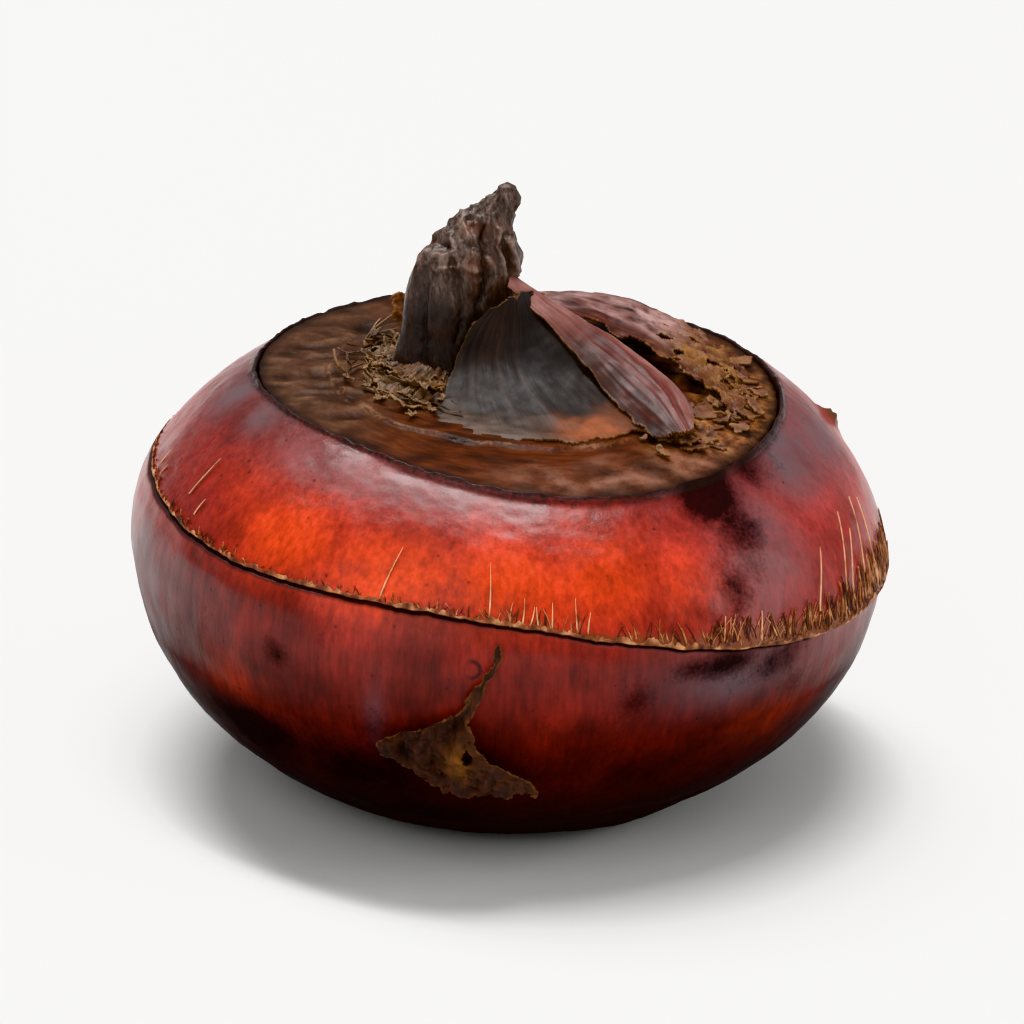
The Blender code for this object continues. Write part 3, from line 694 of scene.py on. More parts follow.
# Folds on the front of the sheath: (x, height) points, width, and how far it rises or sinks
BUD_FOLDS = [([(-5.5, 31.5), (-5.0, 32.3), (-4.0, 32.3), (-3.6, 31.6), (-4.2, 31.1), (-5.2, 31.1)],
              0.16, 0.26),
             ([(-4.9, 31.7), (-4.2, 31.7)], 0.3, -0.35),
             ([(-3.4, 33.3), (-2.9, 32.3), (-2.5, 31.2), (-2.35, 30.0)], 0.15, 0.26),
             ([(-2.2, 33.0), (-1.9, 31.6), (-1.85, 30.0), (-2.1, 28.8)], 0.26, -0.55),
             ([(-1.4, 32.9), (-1.15, 31.4), (-0.75, 30.2)], 0.13, 0.3),
             ([(-0.95, 32.4), (-0.7, 31.2), (-0.35, 30.0)], 0.12, -0.25),
             ([(-0.6, 32.2), (-0.4, 31.0), (-0.1, 30.0)], 0.12, 0.28),
             ([(-5.1, 30.6), (-5.35, 28.5), (-5.2, 25.0)], 0.25, -0.3),
             ([(-4.3, 30.6), (-4.2, 28.4), (-4.5, 25.0)], 0.45, 0.12),
             ([(-5.9, 30.2), (-6.2, 28.0), (-6.3, 25.0)], 0.3, 0.15),
             ([(-3.6, 30.4), (-3.2, 29.0), (-3.3, 26.6)], 0.22, -0.25),
             ([(-4.6, 33.0), (-3.4, 34.0), (-2.2, 34.4)], 0.2, 0.2),
             ([(-5.8, 30.9), (-4.8, 30.4), (-3.4, 30.9), (-2.6, 30.6)], 0.18, 0.16)]
angle, share = grid_of(BUD_COLUMNS, BUD_ROWS, True)
points = bud_points(angle, share)
drawn = points * np.array([1.0, 1.0, 0.22]) + np.array([0.25, 0.0, 0.0]) * points[:, :, 2:3]
upper = smooth_step(29.0, 31.0, points[:, :, 2]) * (1.0 - 0.85 * smooth_step(34.2, 34.9, points[:, :, 2]))
pleats = creases(drawn, 1.1, 3)
crumple = creases(points * np.array([1.0, 1.0, 0.45]) + 5.0, 1.3, 4)
folded = sum(rise * near_line(points, line, width) for line, width, rise in BUD_FOLDS)
front_folds = sum(np.abs(near_line(points, line, 2.5 * width)) for line, width, _ in BUD_FOLDS)
front_folds = np.clip(front_folds, 0.0, 1.0)
relief = mix(0.03, 0.13, upper) * pleats + 0.13 * upper * (1.0 - 0.5 * front_folds) * crumple + 0.75 * folded
fine_pleats = creases(drawn + 3.0, 0.5, 2)
relief += mix(0.02, 0.05, upper) * fine_pleats
ends = smooth_step(0.0, 0.06, share) * (1.0 - 0.6 * smooth_step(0.93, 1.0, share))
points = pushed_out(points, (relief - 0.16) * ends, True)
bud_relief = mix(0.35, 1.0, upper) * (0.5 * mix(pleats, crumple, 0.5) + 0.3 * fine_pleats) + 1.8 * folded
# The sheath's colour is lighter higher up and darker toward its foot
bud = closed_round_object("bud_leaf_sheath", points, (BUD_X, 0.0, 23.0), (-0.95, 0.0, 35.2),
                          {"relief": bud_relief, "drawn_out": drawn, "upper": upper,
                           "lighter_higher_up": smooth_step(27.0, 30.0, points[:, :, 2])})

# Dry sheath leaf: thin plant tissue gone nearly black, matt and darkened with painted shade in its hollows,
# and pale on its folds, partly rubbed and partly painted glints
bud_leaf, tree, shader, place, mark = new_material(
    "blackened_sheath_leaf", {"IOR": 1.45, "Specular IOR Level": 0.5}, ("relief", "upper", "lighter_higher_up"))
drawn_out = add(tree, "Attribute", attribute_name="drawn_out").outputs["Vector"]
fibre = add(tree, "TexNoise", {"Vector": drawn_out, "Scale": 2.2, "Detail": 6.0, "Roughness": 0.7})
strands = add(tree, "TexNoise", {"Vector": drawn_out, "Scale": 7.5, "Detail": 4.0, "Roughness": 0.7})
patch = add(tree, "TexNoise", {"Vector": place, "Scale": 1.0 / (1.8 * MM), "Detail": 4.0})
fibre = add(tree, "Math", {0: fibre, 1: 0.55}, operation="MULTIPLY")
fibre = add(tree, "Math", {0: strands, 1: 0.45, 2: fibre}, operation="MULTIPLY_ADD")
colour = add(tree, "ValToRGB", {0: fibre}, stops=[(0.36, "#110b09"), (0.5, "#1f1613"), (0.64, "#3a2d27")])
light = add(tree, "ValToRGB", {0: fibre}, stops=[(0.36, "#241a16"), (0.5, "#493a33"), (0.64, "#7a675e")])
rusty = add(tree, "MapRange", {0: patch, 1: 0.52, 2: 0.68, 3: 0.0, 4: 0.55})
high_up = add(tree, "Math", {0: mark["upper"], 1: 0.15}, operation="ADD")
rusty = add(tree, "Math", {0: rusty, 1: high_up}, operation="MULTIPLY", use_clamp=True)
# Painted shade: darker in the hollows of the folds
hollow = add(tree, "MapRange", {0: mark["relief"], 1: -0.8, 2: 0.2, 3: 0.3, 4: 1.0})
# Pale on the raised crests: partly rubbed, partly painted glints
raised = add(tree, "Math", {0: fibre, 1: 0.4, 2: mark["relief"]}, operation="MULTIPLY_ADD")
rubbed_and_glints = add(tree, "MapRange", {0: raised, 1: 0.75, 2: 1.25, 3: 0.0, 4: 0.6})
for blend, share, paint in (("MIX", mark["lighter_higher_up"], light), ("MIX", rusty, "#6a4234"),
                            ("MULTIPLY", 1.0, hollow), ("MIX", rubbed_and_glints, "#8f7769")):
    colour = add(tree, "Mix", {0: share, 6: colour, 7: paint}, data_type="RGBA", blend_type=blend)
gloss = add(tree, "MapRange", {0: fibre, 1: 0.36, 2: 0.64, 3: 0.28, 4: 0.5})
bump = add(tree, "Bump", {"Height": fibre, "Strength": 0.45, "Distance": 0.12 * MM})
feed(tree, shader, {"Base Color": colour, "Roughness": gloss, "Normal": bump})
bud.data.materials.append(bud_leaf)
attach(bud, "root")
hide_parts("bud_sheath")


# The front scale is an older sheath leaf that wraps the right half of the bud's front. It is split from
# top to foot at its left margin, and its foot flares out flat on the crown, greyed and torn there.


def torn(points, size, reach):
    """How far in millimetres a torn edge strays at each point."""
    return reach * rough(points, size, 4)


def net_surface(net, columns, rows):
    """A smooth sheet through a net of points, with its shares across (u) and up (v) at each point."""
    u, v = grid_of(columns, rows)
    along = through(np.swapaxes(np.array(net), 0, 1), np.linspace(0.0, 1.0, columns))
    return through(np.swapaxes(along, 0, 1), np.linspace(0.0, 1.0, rows)), u, v


BLOTCH_MM = 1.1


def leaf_material(name, colours, pale_colour, warm_colour, rim_colour, gloss_range, broken_up=1.8,
                  grain=0.45):
    """Dry scale leaf: streaked along its growth, blotched pale and warm, darkened in its creases with
    painted shade, and bleached at its torn rim.
    """
    material, tree, shader, place, mark = new_material(
        name, {"IOR": 1.45, "Specular IOR Level": 0.45}, ("pale", "warm", "relief", "edge"))
    along = add(tree, "Attribute", attribute_name="grown_along").outputs["Vector"]
    streak = add(tree, "TexNoise", {"Vector": along, "Scale": 2.6, "Detail": 6.0, "Roughness": 0.65})
    blotch = add(tree, "TexNoise", {"Vector": place, "Scale": 1.0 / (BLOTCH_MM * MM), "Detail": 5.0,
                                    "Roughness": 0.6})
    colour = add(tree, "ValToRGB", {0: streak}, stops=list(zip((0.3, 0.5, 0.7), colours)))
    patchy = add(tree, "Math", {0: blotch, 1: broken_up, 2: 0.75 - 0.5 * broken_up},
                 operation="MULTIPLY_ADD")
    pale, warm = [add(tree, "Math", {0: mark[patch], 1: patchy}, operation="MULTIPLY", use_clamp=True)
                  for patch in ("pale", "warm")]
    # Painted shade: darker in the creases
    hollow = add(tree, "MapRange", {0: mark["relief"], 1: -0.6, 2: 0.5, 3: 0.45, 4: 1.1})
    rim = add(tree, "MapRange", {0: mark["edge"], 1: 0.02, 2: 0.14, 3: 0.8, 4: 0.0})
    rim = add(tree, "Math", {0: rim, 1: blotch}, operation="MULTIPLY")
    for blend, share, paint in (("MIX", pale, pale_colour), ("MIX", warm, warm_colour),
                                ("MULTIPLY", 1.0, hollow), ("MIX", rim, rim_colour)):
        colour = add(tree, "Mix", {0: share, 6: colour, 7: paint}, data_type="RGBA", blend_type=blend)
    gloss = add(tree, "MapRange", {0: blotch, 1: 0.3, 2: 0.7, 3: gloss_range[0], 4: gloss_range[1]})
    bump = add(tree, "Bump", {"Height": streak, "Strength": grain, "Distance": 0.1 * MM})
    feed(tree, shader, {"Base Color": colour, "Roughness": gloss, "Normal": bump})
    return material


def without_specks(faces, fewest=24):
    """The faces without the specks that a torn edge leaves, which are groups of too few joined faces."""
    faces = np.array(faces)
    group = np.arange(faces.max() + 1)
    spread = None
    while not np.array_equal(spread, group):
        group = group if spread is None else spread
        spread = group.copy()
        np.minimum.at(spread, faces, group[faces].min(axis=1)[:, None])
        spread = spread[spread]
    group_of_face = group[faces[:, 0]]
    return faces[np.bincount(group_of_face)[group_of_face] >= fewest].tolist()


def sheet_object(name, points, marks):
    """One piece made of a grid of points, with its marks, cut off where the edge mark falls to 0."""
    faces = quads(*points.shape[:2], kept=marks["edge"] > 0.0)
    return mesh_object(name, points.reshape(-1, 3), faces, marks)


def joined_sheets(name, sheets):
    """One piece made of several grids, each with its marks, cut off where the edge mark falls to 0."""
    faces, first_point = [], 0
    for points, marks in sheets:
        faces += quads(*points.shape[:2], kept=marks["edge"] > 0.0, first_point=first_point)
        first_point += points.shape[0] * points.shape[1]
    joined = {key: np.concatenate([(marks[key] + 0.0 * points[:, :, 0]).ravel() for points, marks in sheets])
              for key in ("edge", "relief", "pale", "warm")}
    joined["grown_along"] = np.concatenate([marks["grown_along"].reshape(-1, 3) for points, marks in sheets])
    spots = np.concatenate([points.reshape(-1, 3) for points, marks in sheets])
    return mesh_object(name, spots, without_specks(faces), joined)


FRONT_NET = [[(-4.8, -8.6, 23.55), (-0.9, -9.8, 23.5), (3.6, -9.5, 23.5), (7.8, -7.2, 23.6)],
             [(-4.3, -6.2, 24.0), (-1.4, -7.1, 24.15), (2.3, -7.2, 24.3), (6.2, -5.6, 24.4)],
             [(-3.8, -4.5, 24.75), (-1.9, -5.0, 24.95), (1.0, -5.3, 25.2), (4.4, -3.9, 25.6)],
             [(-3.3, -3.35, 26.1), (-2.0, -3.6, 26.0), (0.3, -4.0, 26.2), (3.0, -2.9, 27.0)],
             [(-2.6, -3.05, 27.6), (-1.6, -3.2, 27.6), (0.1, -2.9, 27.8), (1.7, -2.0, 28.2)],
             [(-1.5, -2.75, 28.8), (-0.8, -2.6, 29.1), (-0.2, -2.15, 29.5), (0.7, -1.4, 29.4)]]
FRONT_COLUMNS, FRONT_ROWS = 180, 140
points, u, v = net_surface(FRONT_NET, FRONT_COLUMNS, FRONT_ROWS)
grown_along = np.stack([u * 10.0, v * 0.8, 0.0 * v], axis=2)
flange = 1.0 - smooth_step(0.03, 0.26, v + 0.1 * rough(points, 2.2))
on_orange = spot_mask(points[:, :, 0], 0.8 * points[:, :, 1], 4.4, -5.9, 2.0)
folds = creases(grown_along, 1.3, 3)
crumple = creases(points * np.array([0.35, 1.3, 1.0]) + 3.0, 1.6, 2)
relief = 0.02 * folds + 0.05 * rough(points, 2.0) + 0.1 * flange * crumple * (1.0 - 0.8 * on_orange)
points = pushed_out(points, relief)
edge = np.minimum.reduce([v * 11.0 - 0.3 + torn(points, 1.1, 0.5),
                          (1.0 - v) * 11.0 - 0.2 + torn(points + 8.0, 0.6, 0.35),
                          u * 9.0 - 0.25 + torn(points + 4.0, 0.8, 0.3), (1.0 - u) * 9.0 + 0.1])
front_scale = sheet_object("front_sheath_leaf", points,
                           {"edge": edge, "grown_along": grown_along,
                            "relief": mix(folds, 0.35 + 0.2 * crumple, flange),
                            "pale": flange * (1.0 - smooth_step(0.4, 0.75, u)),
                            "warm": 1.15 * on_orange * flange})
thicken(front_scale, 0.2)
front_scale.data.materials.append(leaf_material(
    "smooth_dark_scale_leaf", ("#150d0a", "#1f1511", "#2f201a"), "#5d4c42", "#94502c", "#9a7350",
    gloss_range=(0.46, 0.66), grain=0.3))
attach(front_scale, "root")
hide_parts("front_scale")


# The folded scale is a flake of the same sheath that has folded down to the right. It arches along its
# length,
# satin, over a dark hollow: purple pink on its upper side, partly its inner face's own colour and partly
# painted highlight, and dark brown on its lower front half, partly painted shade.

FOLD_NET = [
    [(-0.7, -1.5, 29.6), (2.7, -3.3, 27.1), (4.9, -5.2, 25.1), (6.9, -7.5, 23.9), (8.9, -9.2, 23.6)],
    [(-0.6, -1.1, 30.0), (2.9, -2.6, 27.7), (5.4, -4.1, 26.2), (7.7, -6.3, 25.0), (9.4, -8.9, 24.0)],
    [(-0.5, -0.7, 30.1), (3.1, -1.8, 28.1), (6.0, -2.8, 26.8), (8.6, -5.0, 25.4), (10.0, -8.4, 24.2)],
    [(-0.4, -0.2, 29.8), (3.0, -0.7, 27.9), (6.0, -1.2, 26.3), (9.1, -3.6, 24.8), (10.5, -7.6, 23.9)]]
FOLD_COLUMNS, FOLD_ROWS = 170, 90
points, u, v = net_surface(FOLD_NET, FOLD_COLUMNS, FOLD_ROWS)
grown_along = np.stack([v * 5.0, u * 1.0, 0.0 * v], axis=2)
folds = creases(grown_along + 2.0, 1.1, 3)
relief = 0.05 * folds * np.sin(math.pi * v) + 0.12 * rough(points, 2.5)
points = pushed_out(points, relief)
tip = 11.5 * (1.0 - u) - 1.6 * (2.0 * v - 1.0) ** 2
edge = np.minimum.reduce([v * 4.0 - 0.08 + torn(points, 0.9, 0.22),
                          (1.0 - v) * 4.0 - 0.08 + torn(points + 5.0, 0.9, 0.22),
                          tip - 0.2 + torn(points + 2.0, 0.8, 0.35), u * 12.0])
# Pale: tan pink at its start and pink along its upper side, partly painted highlight; warm: dark brown on
# its lower front half, partly painted shade
folded_scale = sheet_object("folded_sheath_flake", points,
                            {"edge": edge, "grown_along": grown_along, "relief": folds,
                             "pale": np.maximum(smooth_step(0.5, 0.75, v) * smooth_step(0.3, 0.55, u) * 0.7,
                                                0.9 * (1.0 - smooth_step(0.15, 0.4, u))),
                             "warm": 1.2 * (1.0 - smooth_step(0.2, 0.55, v)) * smooth_step(0.1, 0.4, u)})
thicken(folded_scale, 0.2)
folded_scale.data.materials.append(leaf_material(
    "purple_scale_leaf", ("#32130f", "#5a2923", "#824a43"), "#8f625a", "#33170f", "#b58a68",
    gloss_range=(0.38, 0.52), grain=0.2))
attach(folded_scale, "root")
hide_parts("folded_scale")


# The back scale is the widest flake: it stands up a little behind the folded one and runs down to
# the ring at the right, buckled, with torn holes that show the dark hollow under it.

BACK_NET = [[(0.6, 0.9, 27.8), (4.9, 1.4, 26.1), (8.3, 0.4, 24.9), (10.9, -1.9, 24.2), (12.4, -5.2, 23.5)],
            [(0.9, 5.0, 26.7), (5.5, 5.6, 25.7), (9.0, 4.4, 24.6), (11.8, 1.6, 23.9), (13.3, -2.4, 23.3)],
            [(0.6, 9.4, 25.1), (5.0, 10.8, 24.8), (8.9, 9.7, 24.0), (12.0, 6.3, 23.4), (14.0, 1.2, 23.05)]]
BACK_COLUMNS, BACK_ROWS = 200, 130
points, u, v = net_surface(BACK_NET, BACK_COLUMNS, BACK_ROWS)
grown_along = np.stack([v * 7.0, u * 3.0, 0.0 * v], axis=2)
crumble = smooth_step(0.35, 0.65, u)
folds = creases(grown_along + 6.0, 1.5, 3)
crumple = creases(points + 12.0, 1.3, 5)
buckle = (0.32 * crumple - 0.25) * crumble
points[:, :, 2] += 0.16 * folds * (1.0 - crumble) + buckle + 0.2 * rough(points, 3.0)
holes = 0.24 + rough(points * np.array([1.0, 1.5, 0.3]) + 21.0, 1.4, 4)
holes = np.where((u > 0.42) & (v < 0.75), holes, 1.0) + smooth_step(0.42, 0.3, u)
edge = np.minimum.reduce([v * 9.0 - 0.5 + torn(points, 1.3, 0.9),
                          (1.0 - v) * 9.0 - 0.2 + torn(points + 3.0, 0.8, 0.4),
                          u * 13.0 - 0.4 + torn(points + 7.0, 1.0, 0.6),
                          (1.0 - u) * 13.0 - 0.5 + torn(points + 9.0, 1.0, 0.9), 0.8 * holes])
# Pink toward the bud: partly the leaf's own colour, partly painted highlight
pink = (1.0 - smooth_step(0.4, 0.62, u)) * smooth_step(0.15, 0.4, v)
pink = pink * (0.5 + 0.8 * rough(points + 30.0, 2.2, 2))
# A painted highlight: a pale pink spot
pink += 0.9 * spot_mask(points[:, :, 0], points[:, :, 1], 7.9, 7.6, 1.7)
sheets = [(points, {"edge": edge, "grown_along": grown_along, "relief": crumple, "pale": pink,
                    "warm": crumble * (0.7 + 0.9 * rough(points + 2.0, 1.6, 3))})]

# Crumbs of the same leaf, broken off at its right, lie loosely stuck on the crown between it and the ring
CRUMBS, CRUMB_GRID = 60, 16
across, along = np.meshgrid(np.linspace(-1.0, 1.0, CRUMB_GRID), np.linspace(-1.0, 1.0, CRUMB_GRID))
for index in range(CRUMBS):
    bearing, distance = math.radians(rng.uniform(-50.0, 24.0)), rng.uniform(10.2, 13.7)
    size = rng.uniform(0.4, 1.15)
    facing = rng.uniform(0.0, math.pi)
    tilt = rng.uniform(-0.3, 0.3, 2)
    x = distance * math.cos(bearing) + size * (across * math.cos(facing) - 0.6 * along * math.sin(facing))
    y = distance * math.sin(bearing) + size * (across * math.sin(facing) + 0.6 * along * math.cos(facing))
    saddle = 0.12 * (across ** 2 - along ** 2)
    rise = rng.uniform(0.1, 0.4) + size * (tilt[0] * across + tilt[1] * along) + saddle
    points = np.stack([x, y, scale_top(x, y) + np.maximum(rise, 0.0)], axis=2)
    edge = 0.5 * size * (0.9 - np.hypot(across, along) + 0.8 * rough(points / size + 17.0 * index, 0.9, 4))
    points[:, :, 2] += 0.06 * rough(points, 0.6, 2)
    sheets.append((points, {"edge": edge, "grown_along": points * 0.9 + index,
                            "relief": creases(points, 0.8), "pale": 0.3 * rng.random(),
                            "warm": rng.uniform(-0.5, 0.9)}))
back_scale = joined_sheets("back_sheath_flake", sheets)
thicken(back_scale, 0.14)
back_scale.data.materials.append(leaf_material(
    "mottled_scale_leaf", ("#22100c", "#482119", "#6c3c2e"), "#9c7a76", "#7d5430", "#a57c50",
    gloss_range=(0.42, 0.75), broken_up=3.5))
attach(back_scale, "root")
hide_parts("back_scale")


# Collar shreds are the torn ends of older leaves round the left foot of the bud: narrow strips that
# lie out over the crown, thin and papery, curled and split, grey brown and nearly matt.


STRIP_COLUMNS, STRIP_ROWS = 10, 36


def strip_grid(path, widths, side, arch):
    """A narrow strip along a path, arched across its width: points, place across and place along."""
    across, along = np.meshgrid(np.linspace(-1.0, 1.0, STRIP_COLUMNS), np.linspace(0.0, 1.0, STRIP_ROWS),
                                indexing="ij")
    width = np.interp(along, np.linspace(0.0, 1.0, len(widths)), widths)
    points = through(path, along) + (0.5 * across * width)[:, :, None] * np.array(side)
    points[:, :, 2] += arch * (1.0 - across ** 2)
    return points, across, along


LAYER_COLUMNS, LAYER_ROWS = 210, 48
LAYERS = [(1.0, 0.06), (0.8, 0.24), (0.6, 0.45)]
sheets = []
for index, (reach, lift) in enumerate(LAYERS):
    u, v = grid_of(LAYER_COLUMNS, LAYER_ROWS)
    bearing = np.radians(mix(-236.0, -92.0, u))
    outer = 2.9 + reach * (2.6 + 2.9 * smooth_step(0.4, 0.95, u) + 0.5 * np.sin(9.0 * u + 2.0 * index))
    distance = mix(2.9, outer, v)
    x = BUD_X + distance * np.cos(bearing)
    y = 0.95 * distance * np.sin(bearing)
    flat = np.stack([x, y, 0.0 * x + 11.0 * index], axis=2)
    fluted = np.stack([bearing * 9.0, 0.35 * distance, 0.0 * x + 5.0 * index], axis=2)
    curl = 0.5 * v ** 3 * (1.0 + 1.5 * rough(flat, 1.5))
    rise = lift + 0.5 * (1.0 - v) ** 3 + curl + 0.16 * creases(fluted, 1.3, 3) + 0.14 * creases(flat, 1.3, 4)
    points = np.stack([x, y, scale_top(x, y) + np.maximum(rise, 0.08 + 0.1 * index)], axis=2)
    slits = 0.8 - 0.75 * v + 0.9 * rough(fluted + 3.0, 1.1, 3)
    edge = np.minimum.reduce([(1.0 - v) * 3.0 - 0.4 + torn(flat, 0.9, 1.3), slits,
                              u * 14.0 + torn(flat + 2.0, 1.0, 0.8) - 0.6,
                              (1.0 - u) * 14.0 + torn(flat + 4.0, 1.0, 0.8) - 0.6,
                              0.6 + rough(flat + 6.0, 1.2, 3)])
    sheets.append((points, {"edge": 0.4 * edge, "grown_along": fluted, "relief": creases(flat, 1.1, 4),
                            "pale": 0.15 + 0.8 * v ** 2 + 0.4 * rough(flat + 8.0, 2.0),
                            "warm": 0.3 + rough(flat, 2.5)}))

SHREDS = 46
for index in range(SHREDS):
    bearing = math.radians(rng.uniform(-236.0, -94.0))
    start, length = rng.uniform(3.4, 6.4), rng.uniform(0.5, 2.2)
    swing, curl = rng.uniform(-0.5, 0.5), rng.uniform(0.0, 1.0) ** 3 * 0.9
    path = []
    for step in (0.0, 0.25, 0.5, 0.75, 1.0):
        distance = start + length * step * (1.0 - 0.25 * curl * step)
        x = BUD_X + distance * math.cos(bearing + swing * step ** 2)
        y = 0.95 * distance * math.sin(bearing + swing * step ** 2)
        z = float(scale_top(x, y)) + 0.3 + 0.4 * (1.0 - step) ** 3 + curl * step ** 2
        path.append((x, y, z + rng.uniform(0.0, 0.3)))
    side = (-math.sin(bearing), math.cos(bearing), rng.uniform(-0.9, 0.9))
    broad = 0.07 + 0.5 * rng.random() ** 3
    widths = broad * np.array([1.0, 0.9, 0.65, 0.2])
    points, across, along = strip_grid(path, widths, side, rng.uniform(-0.05, 0.1))
    ragged = rough(points + 40.0, 0.5, 3)
    from_side, from_tip = (1.0 - np.abs(across)) * 0.5, (1.0 - along) * 2.0 - 0.15
    edge = 0.06 + np.minimum(from_side + 0.12 * ragged, from_tip + 0.4 * ragged)
    sheets.append((points, {"edge": edge, "grown_along": points * 0.8 + index,
                            "relief": creases(points, 0.7),
                            "pale": rng.uniform(-0.4, 0.6) + 0.5 * along ** 2,
                            "warm": rng.uniform(-0.5, 0.9)}))
collar = joined_sheets("collar_leaf_shreds", sheets)
thicken(collar, 0.08)
collar.data.materials.append(leaf_material(
    "frayed_leaf_fibre", ("#130c09", "#2d1e17", "#493831"), "#8a6e57", "#684426", "#a08264",
    gloss_range=(0.45, 0.7), broken_up=3.5))
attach(collar, "root")
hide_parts("collar_shreds")


# The side tag is a small torn flap of an outer leaf that stands up behind the bud, at the left.

TAG_COLUMNS, TAG_ROWS = 60, 50
u, v = grid_of(TAG_COLUMNS, TAG_ROWS)
half_width = 1.05 - 0.45 * v
x = -5.8 + half_width * (2.0 * u - 1.0) - 0.9 * v
y = 6.3 + 0.3 * (2.0 * u - 1.0) + 0.5 * v
points = np.stack([x, y, scale_top(x, y) + 0.1 + 1.9 * v + 0.25 * np.sin(math.pi * u)], axis=2)
folds = creases(points, 0.9, 3)
points = pushed_out(points, 0.12 * folds)
edge = np.minimum.reduce([u * 2.0, (1.0 - u) * 2.0, (1.0 - v) * 2.2]) - 0.12 + torn(points, 0.5, 0.25)
side_tag = sheet_object("side_leaf_tag", points,
                        {"edge": edge, "grown_along": points * np.array([1.5, 1.5, 0.5]), "relief": folds,
                         "pale": 0.3 * u, "warm": 1.0 - 0.5 * v})
thicken(side_tag, 0.15)
side_tag.data.materials.append(leaf_material(
    "orange_scale_leaf", ("#2c170d", "#57301a", "#7d4b2b"), "#84654f", "#824a26", "#b08258",
    gloss_range=(0.45, 0.65)))
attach(side_tag, "root")
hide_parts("side_tag")


# The lower scrap is what is left of a papery leaf on the lower half: a stalk that comes down from
# below the node line, and a torn, crumpled flap that stands off the skin at its lower end.

SCRAP_COLUMNS, SCRAP_ROWS = 125, 150
u, v = grid_of(SCRAP_COLUMNS, SCRAP_ROWS)
left_reach = 0.35 + 4.7 * np.exp(-((v - 0.68) / 0.17) ** 2) + 0.8 * smooth_step(0.75, 1.0, v)
right_reach = 0.35 + 3.9 * np.exp(-((v - 0.92) / 0.2) ** 2)
across = mix(-0.1, -1.7, smooth_step(0.0, 0.45, v)) + mix(-left_reach, right_reach, u)
height = mix(16.0, 6.4, v)
angle = math.radians(-90.0) + across / CORM_RADIUS
flat = np.stack([across, height, 0.0 * u], axis=2)
folds = creases(flat * np.array([1.2, 0.5, 1.0]), 1.8, 3)
crumple = creases(flat + 30.0, 1.3, 3)
crumpled = smooth_step(0.25, 0.55, v) * (0.28 * folds + 0.25 * crumple)
stand_off = 0.28 + 0.8 * smooth_step(0.35, 1.0, v) + crumpled
radius = flank(height, angle) + np.maximum(stand_off, 0.2)
points = np.stack([radius * np.cos(angle), radius * np.sin(angle), height], axis=2)
hole = np.hypot((across + 1.6) / 0.25, (height - 9.4) / 0.5) - 1.0 + 0.5 * rough(flat, 0.6)
side = 1.1 * (left_reach + right_reach)
edge = np.minimum.reduce([u * side - 0.1 + torn(flat, 0.9, 0.42),
                          (1.0 - u) * side - 0.1 + torn(flat + 5.0, 0.9, 0.42),
                          (1.0 - v) * 10.0 - 0.5 + torn(flat + 9.0, 1.3, 1.1), 0.5 * hole])
scrap = sheet_object("lower_leaf_scrap", points,
                     {"edge": edge, "grown_along": flat * np.array([1.0, 0.4, 1.0]),
                      "relief": mix(folds, crumple, 0.5), "pale": 0.3 * smooth_step(0.5, 1.0, u),
                      "warm": 0.9 * np.exp(-((across + 2.0) / 0.6) ** 2 - ((height - 9.2) / 0.8) ** 2)})
thicken(scrap, 0.12)
scrap.data.materials.append(leaf_material(
    "papery_brown_leaf", ("#140803", "#2b1309", "#452312"), "#4a2e20", "#7d4d1d", "#8a5a34",
    gloss_range=(0.6, 0.85), broken_up=3.0))
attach(scrap, "root")
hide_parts("lower_scrap")


# The floor, the lights and the camera. The floor is a plain pale sheet. A long soft panel hangs nearly
# overhead, a broad soft light stands in front at the left and a weaker one at the right, in pale air.

floor_mesh = bpy.data.meshes.new("floor")
FLOOR_HALF = 3.0
floor_mesh.from_pydata([(-FLOOR_HALF, -FLOOR_HALF, 0.0), (FLOOR_HALF, -FLOOR_HALF, 0.0),
                        (FLOOR_HALF, FLOOR_HALF, 0.0), (-FLOOR_HALF, FLOOR_HALF, 0.0)], [], [(0, 1, 2, 3)])
floor = bpy.data.objects.new("floor", floor_mesh)
bpy.context.scene.collection.objects.link(floor)
pale_paper, tree, shader, place, mark = new_material(
    "pale_paper", {"Roughness": 0.7, "Specular IOR Level": 0.3})
paper_grain = add(tree, "TexNoise", {"Scale": 40.0, "Detail": 3.0})
paper_tone = add(tree, "ValToRGB", {0: paper_grain}, stops=[(0.3, "#f0efee"), (0.7, "#f4f4f3")])
feed(tree, shader, {"Base Color": paper_tone})
floor.data.materials.append(pale_paper)

TARGET = Vector((0.0, 0.0, 0.0158))


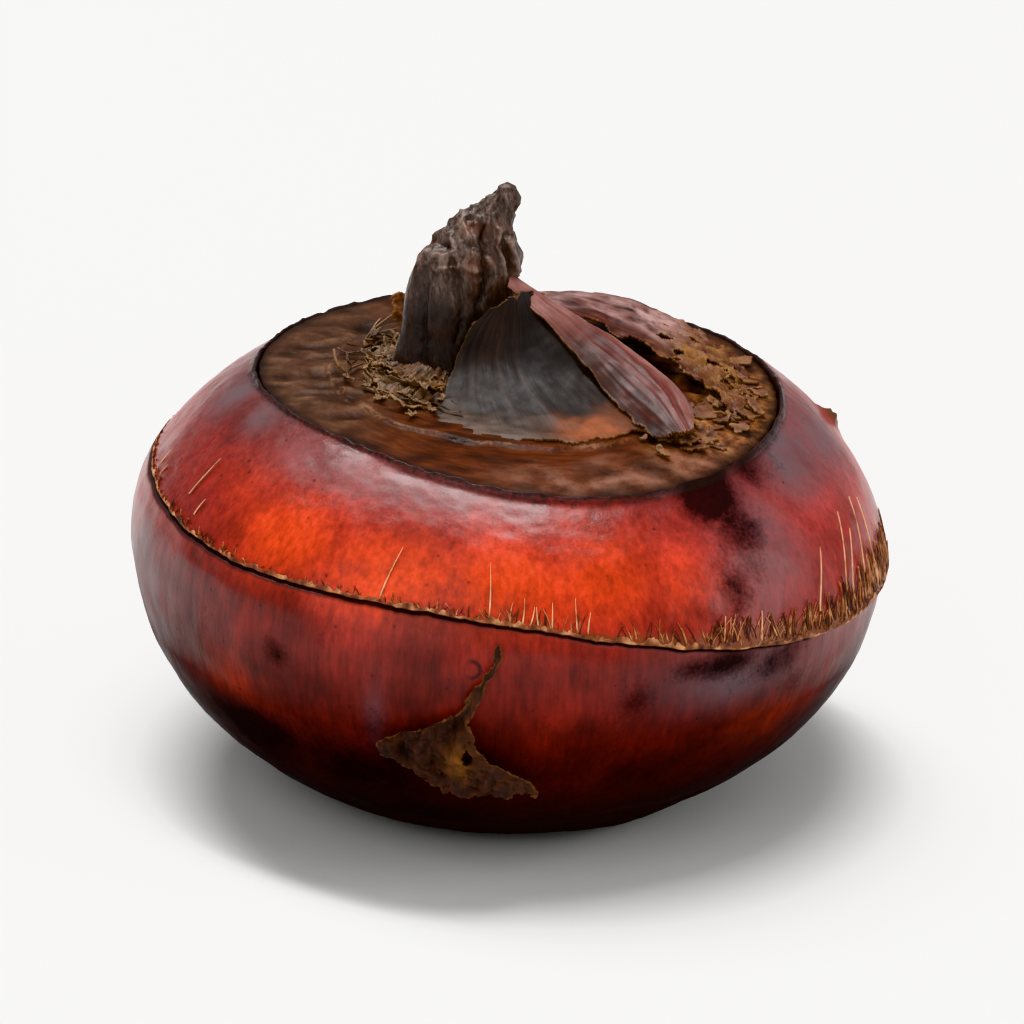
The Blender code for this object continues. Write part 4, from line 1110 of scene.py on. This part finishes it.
def soft_light(name, direction, distance, size, watts, long_way=None):
    """A soft lamp that faces the object: a disk, or a long panel whose long side lies along long_way."""
    lamp = bpy.data.lights.new(name, "AREA")
    lamp.shape = "RECTANGLE" if long_way else "DISK"
    lamp.size = size[0]
    lamp.size_y = size[1]
    lamp.energy = watts
    back = Vector(direction).normalized()
    side = Vector(long_way or (-back.y, back.x, 0.0))
    side = (side - side.dot(back) * back).normalized()
    holder = bpy.data.objects.new(name, lamp)
    holder.matrix_world = (Matrix.Translation(TARGET + back * distance)
                           @ Matrix((side, back.cross(side), back)).transposed().to_4x4())
    bpy.context.scene.collection.objects.link(holder)


soft_light("overhead_panel", (-0.138, 0.12, 0.983), 0.6, (0.6, 0.13), 4.9, long_way=(0.77, -0.61, 0.19))
soft_light("front_left_light", (-0.45, -0.8, 0.5), 0.9, (0.95, 0.95), 2.7)
soft_light("right_light", (0.9, -0.1, 0.35), 0.9, (0.5, 0.5), 2.2)

world = bpy.data.worlds.new("pale_air")
world.use_nodes = True
world.node_tree.nodes["Background"].inputs["Color"].default_value = (1.0, 1.0, 1.0, 1.0)
world.node_tree.nodes["Background"].inputs["Strength"].default_value = 0.4
bpy.context.scene.world = world

CAMERA_ELEVATION = math.radians(22.0)
CAMERA_ROLL = math.radians(2.75)
CAMERA_DISTANCE = 0.55
VIEW_WIDTH = 0.0575
SENSOR = 36.0
camera_data = bpy.data.cameras.new("camera")
camera_data.sensor_width = SENSOR
camera_data.lens = SENSOR * CAMERA_DISTANCE / VIEW_WIDTH
camera_data.clip_start = 0.01
camera = bpy.data.objects.new("camera", camera_data)
toward_camera = Vector((0.0, -math.cos(CAMERA_ELEVATION), math.sin(CAMERA_ELEVATION)))
camera.location = TARGET + CAMERA_DISTANCE * toward_camera
look = (TARGET - camera.location).to_track_quat("-Z", "Y")
camera.rotation_euler = (look.to_matrix().to_4x4() @ Matrix.Rotation(CAMERA_ROLL, 4, "Z")).to_euler()
bpy.context.scene.collection.objects.link(camera)
bpy.context.scene.camera = camera
bpy.context.scene.view_settings.view_transform = "Khronos PBR Neutral"
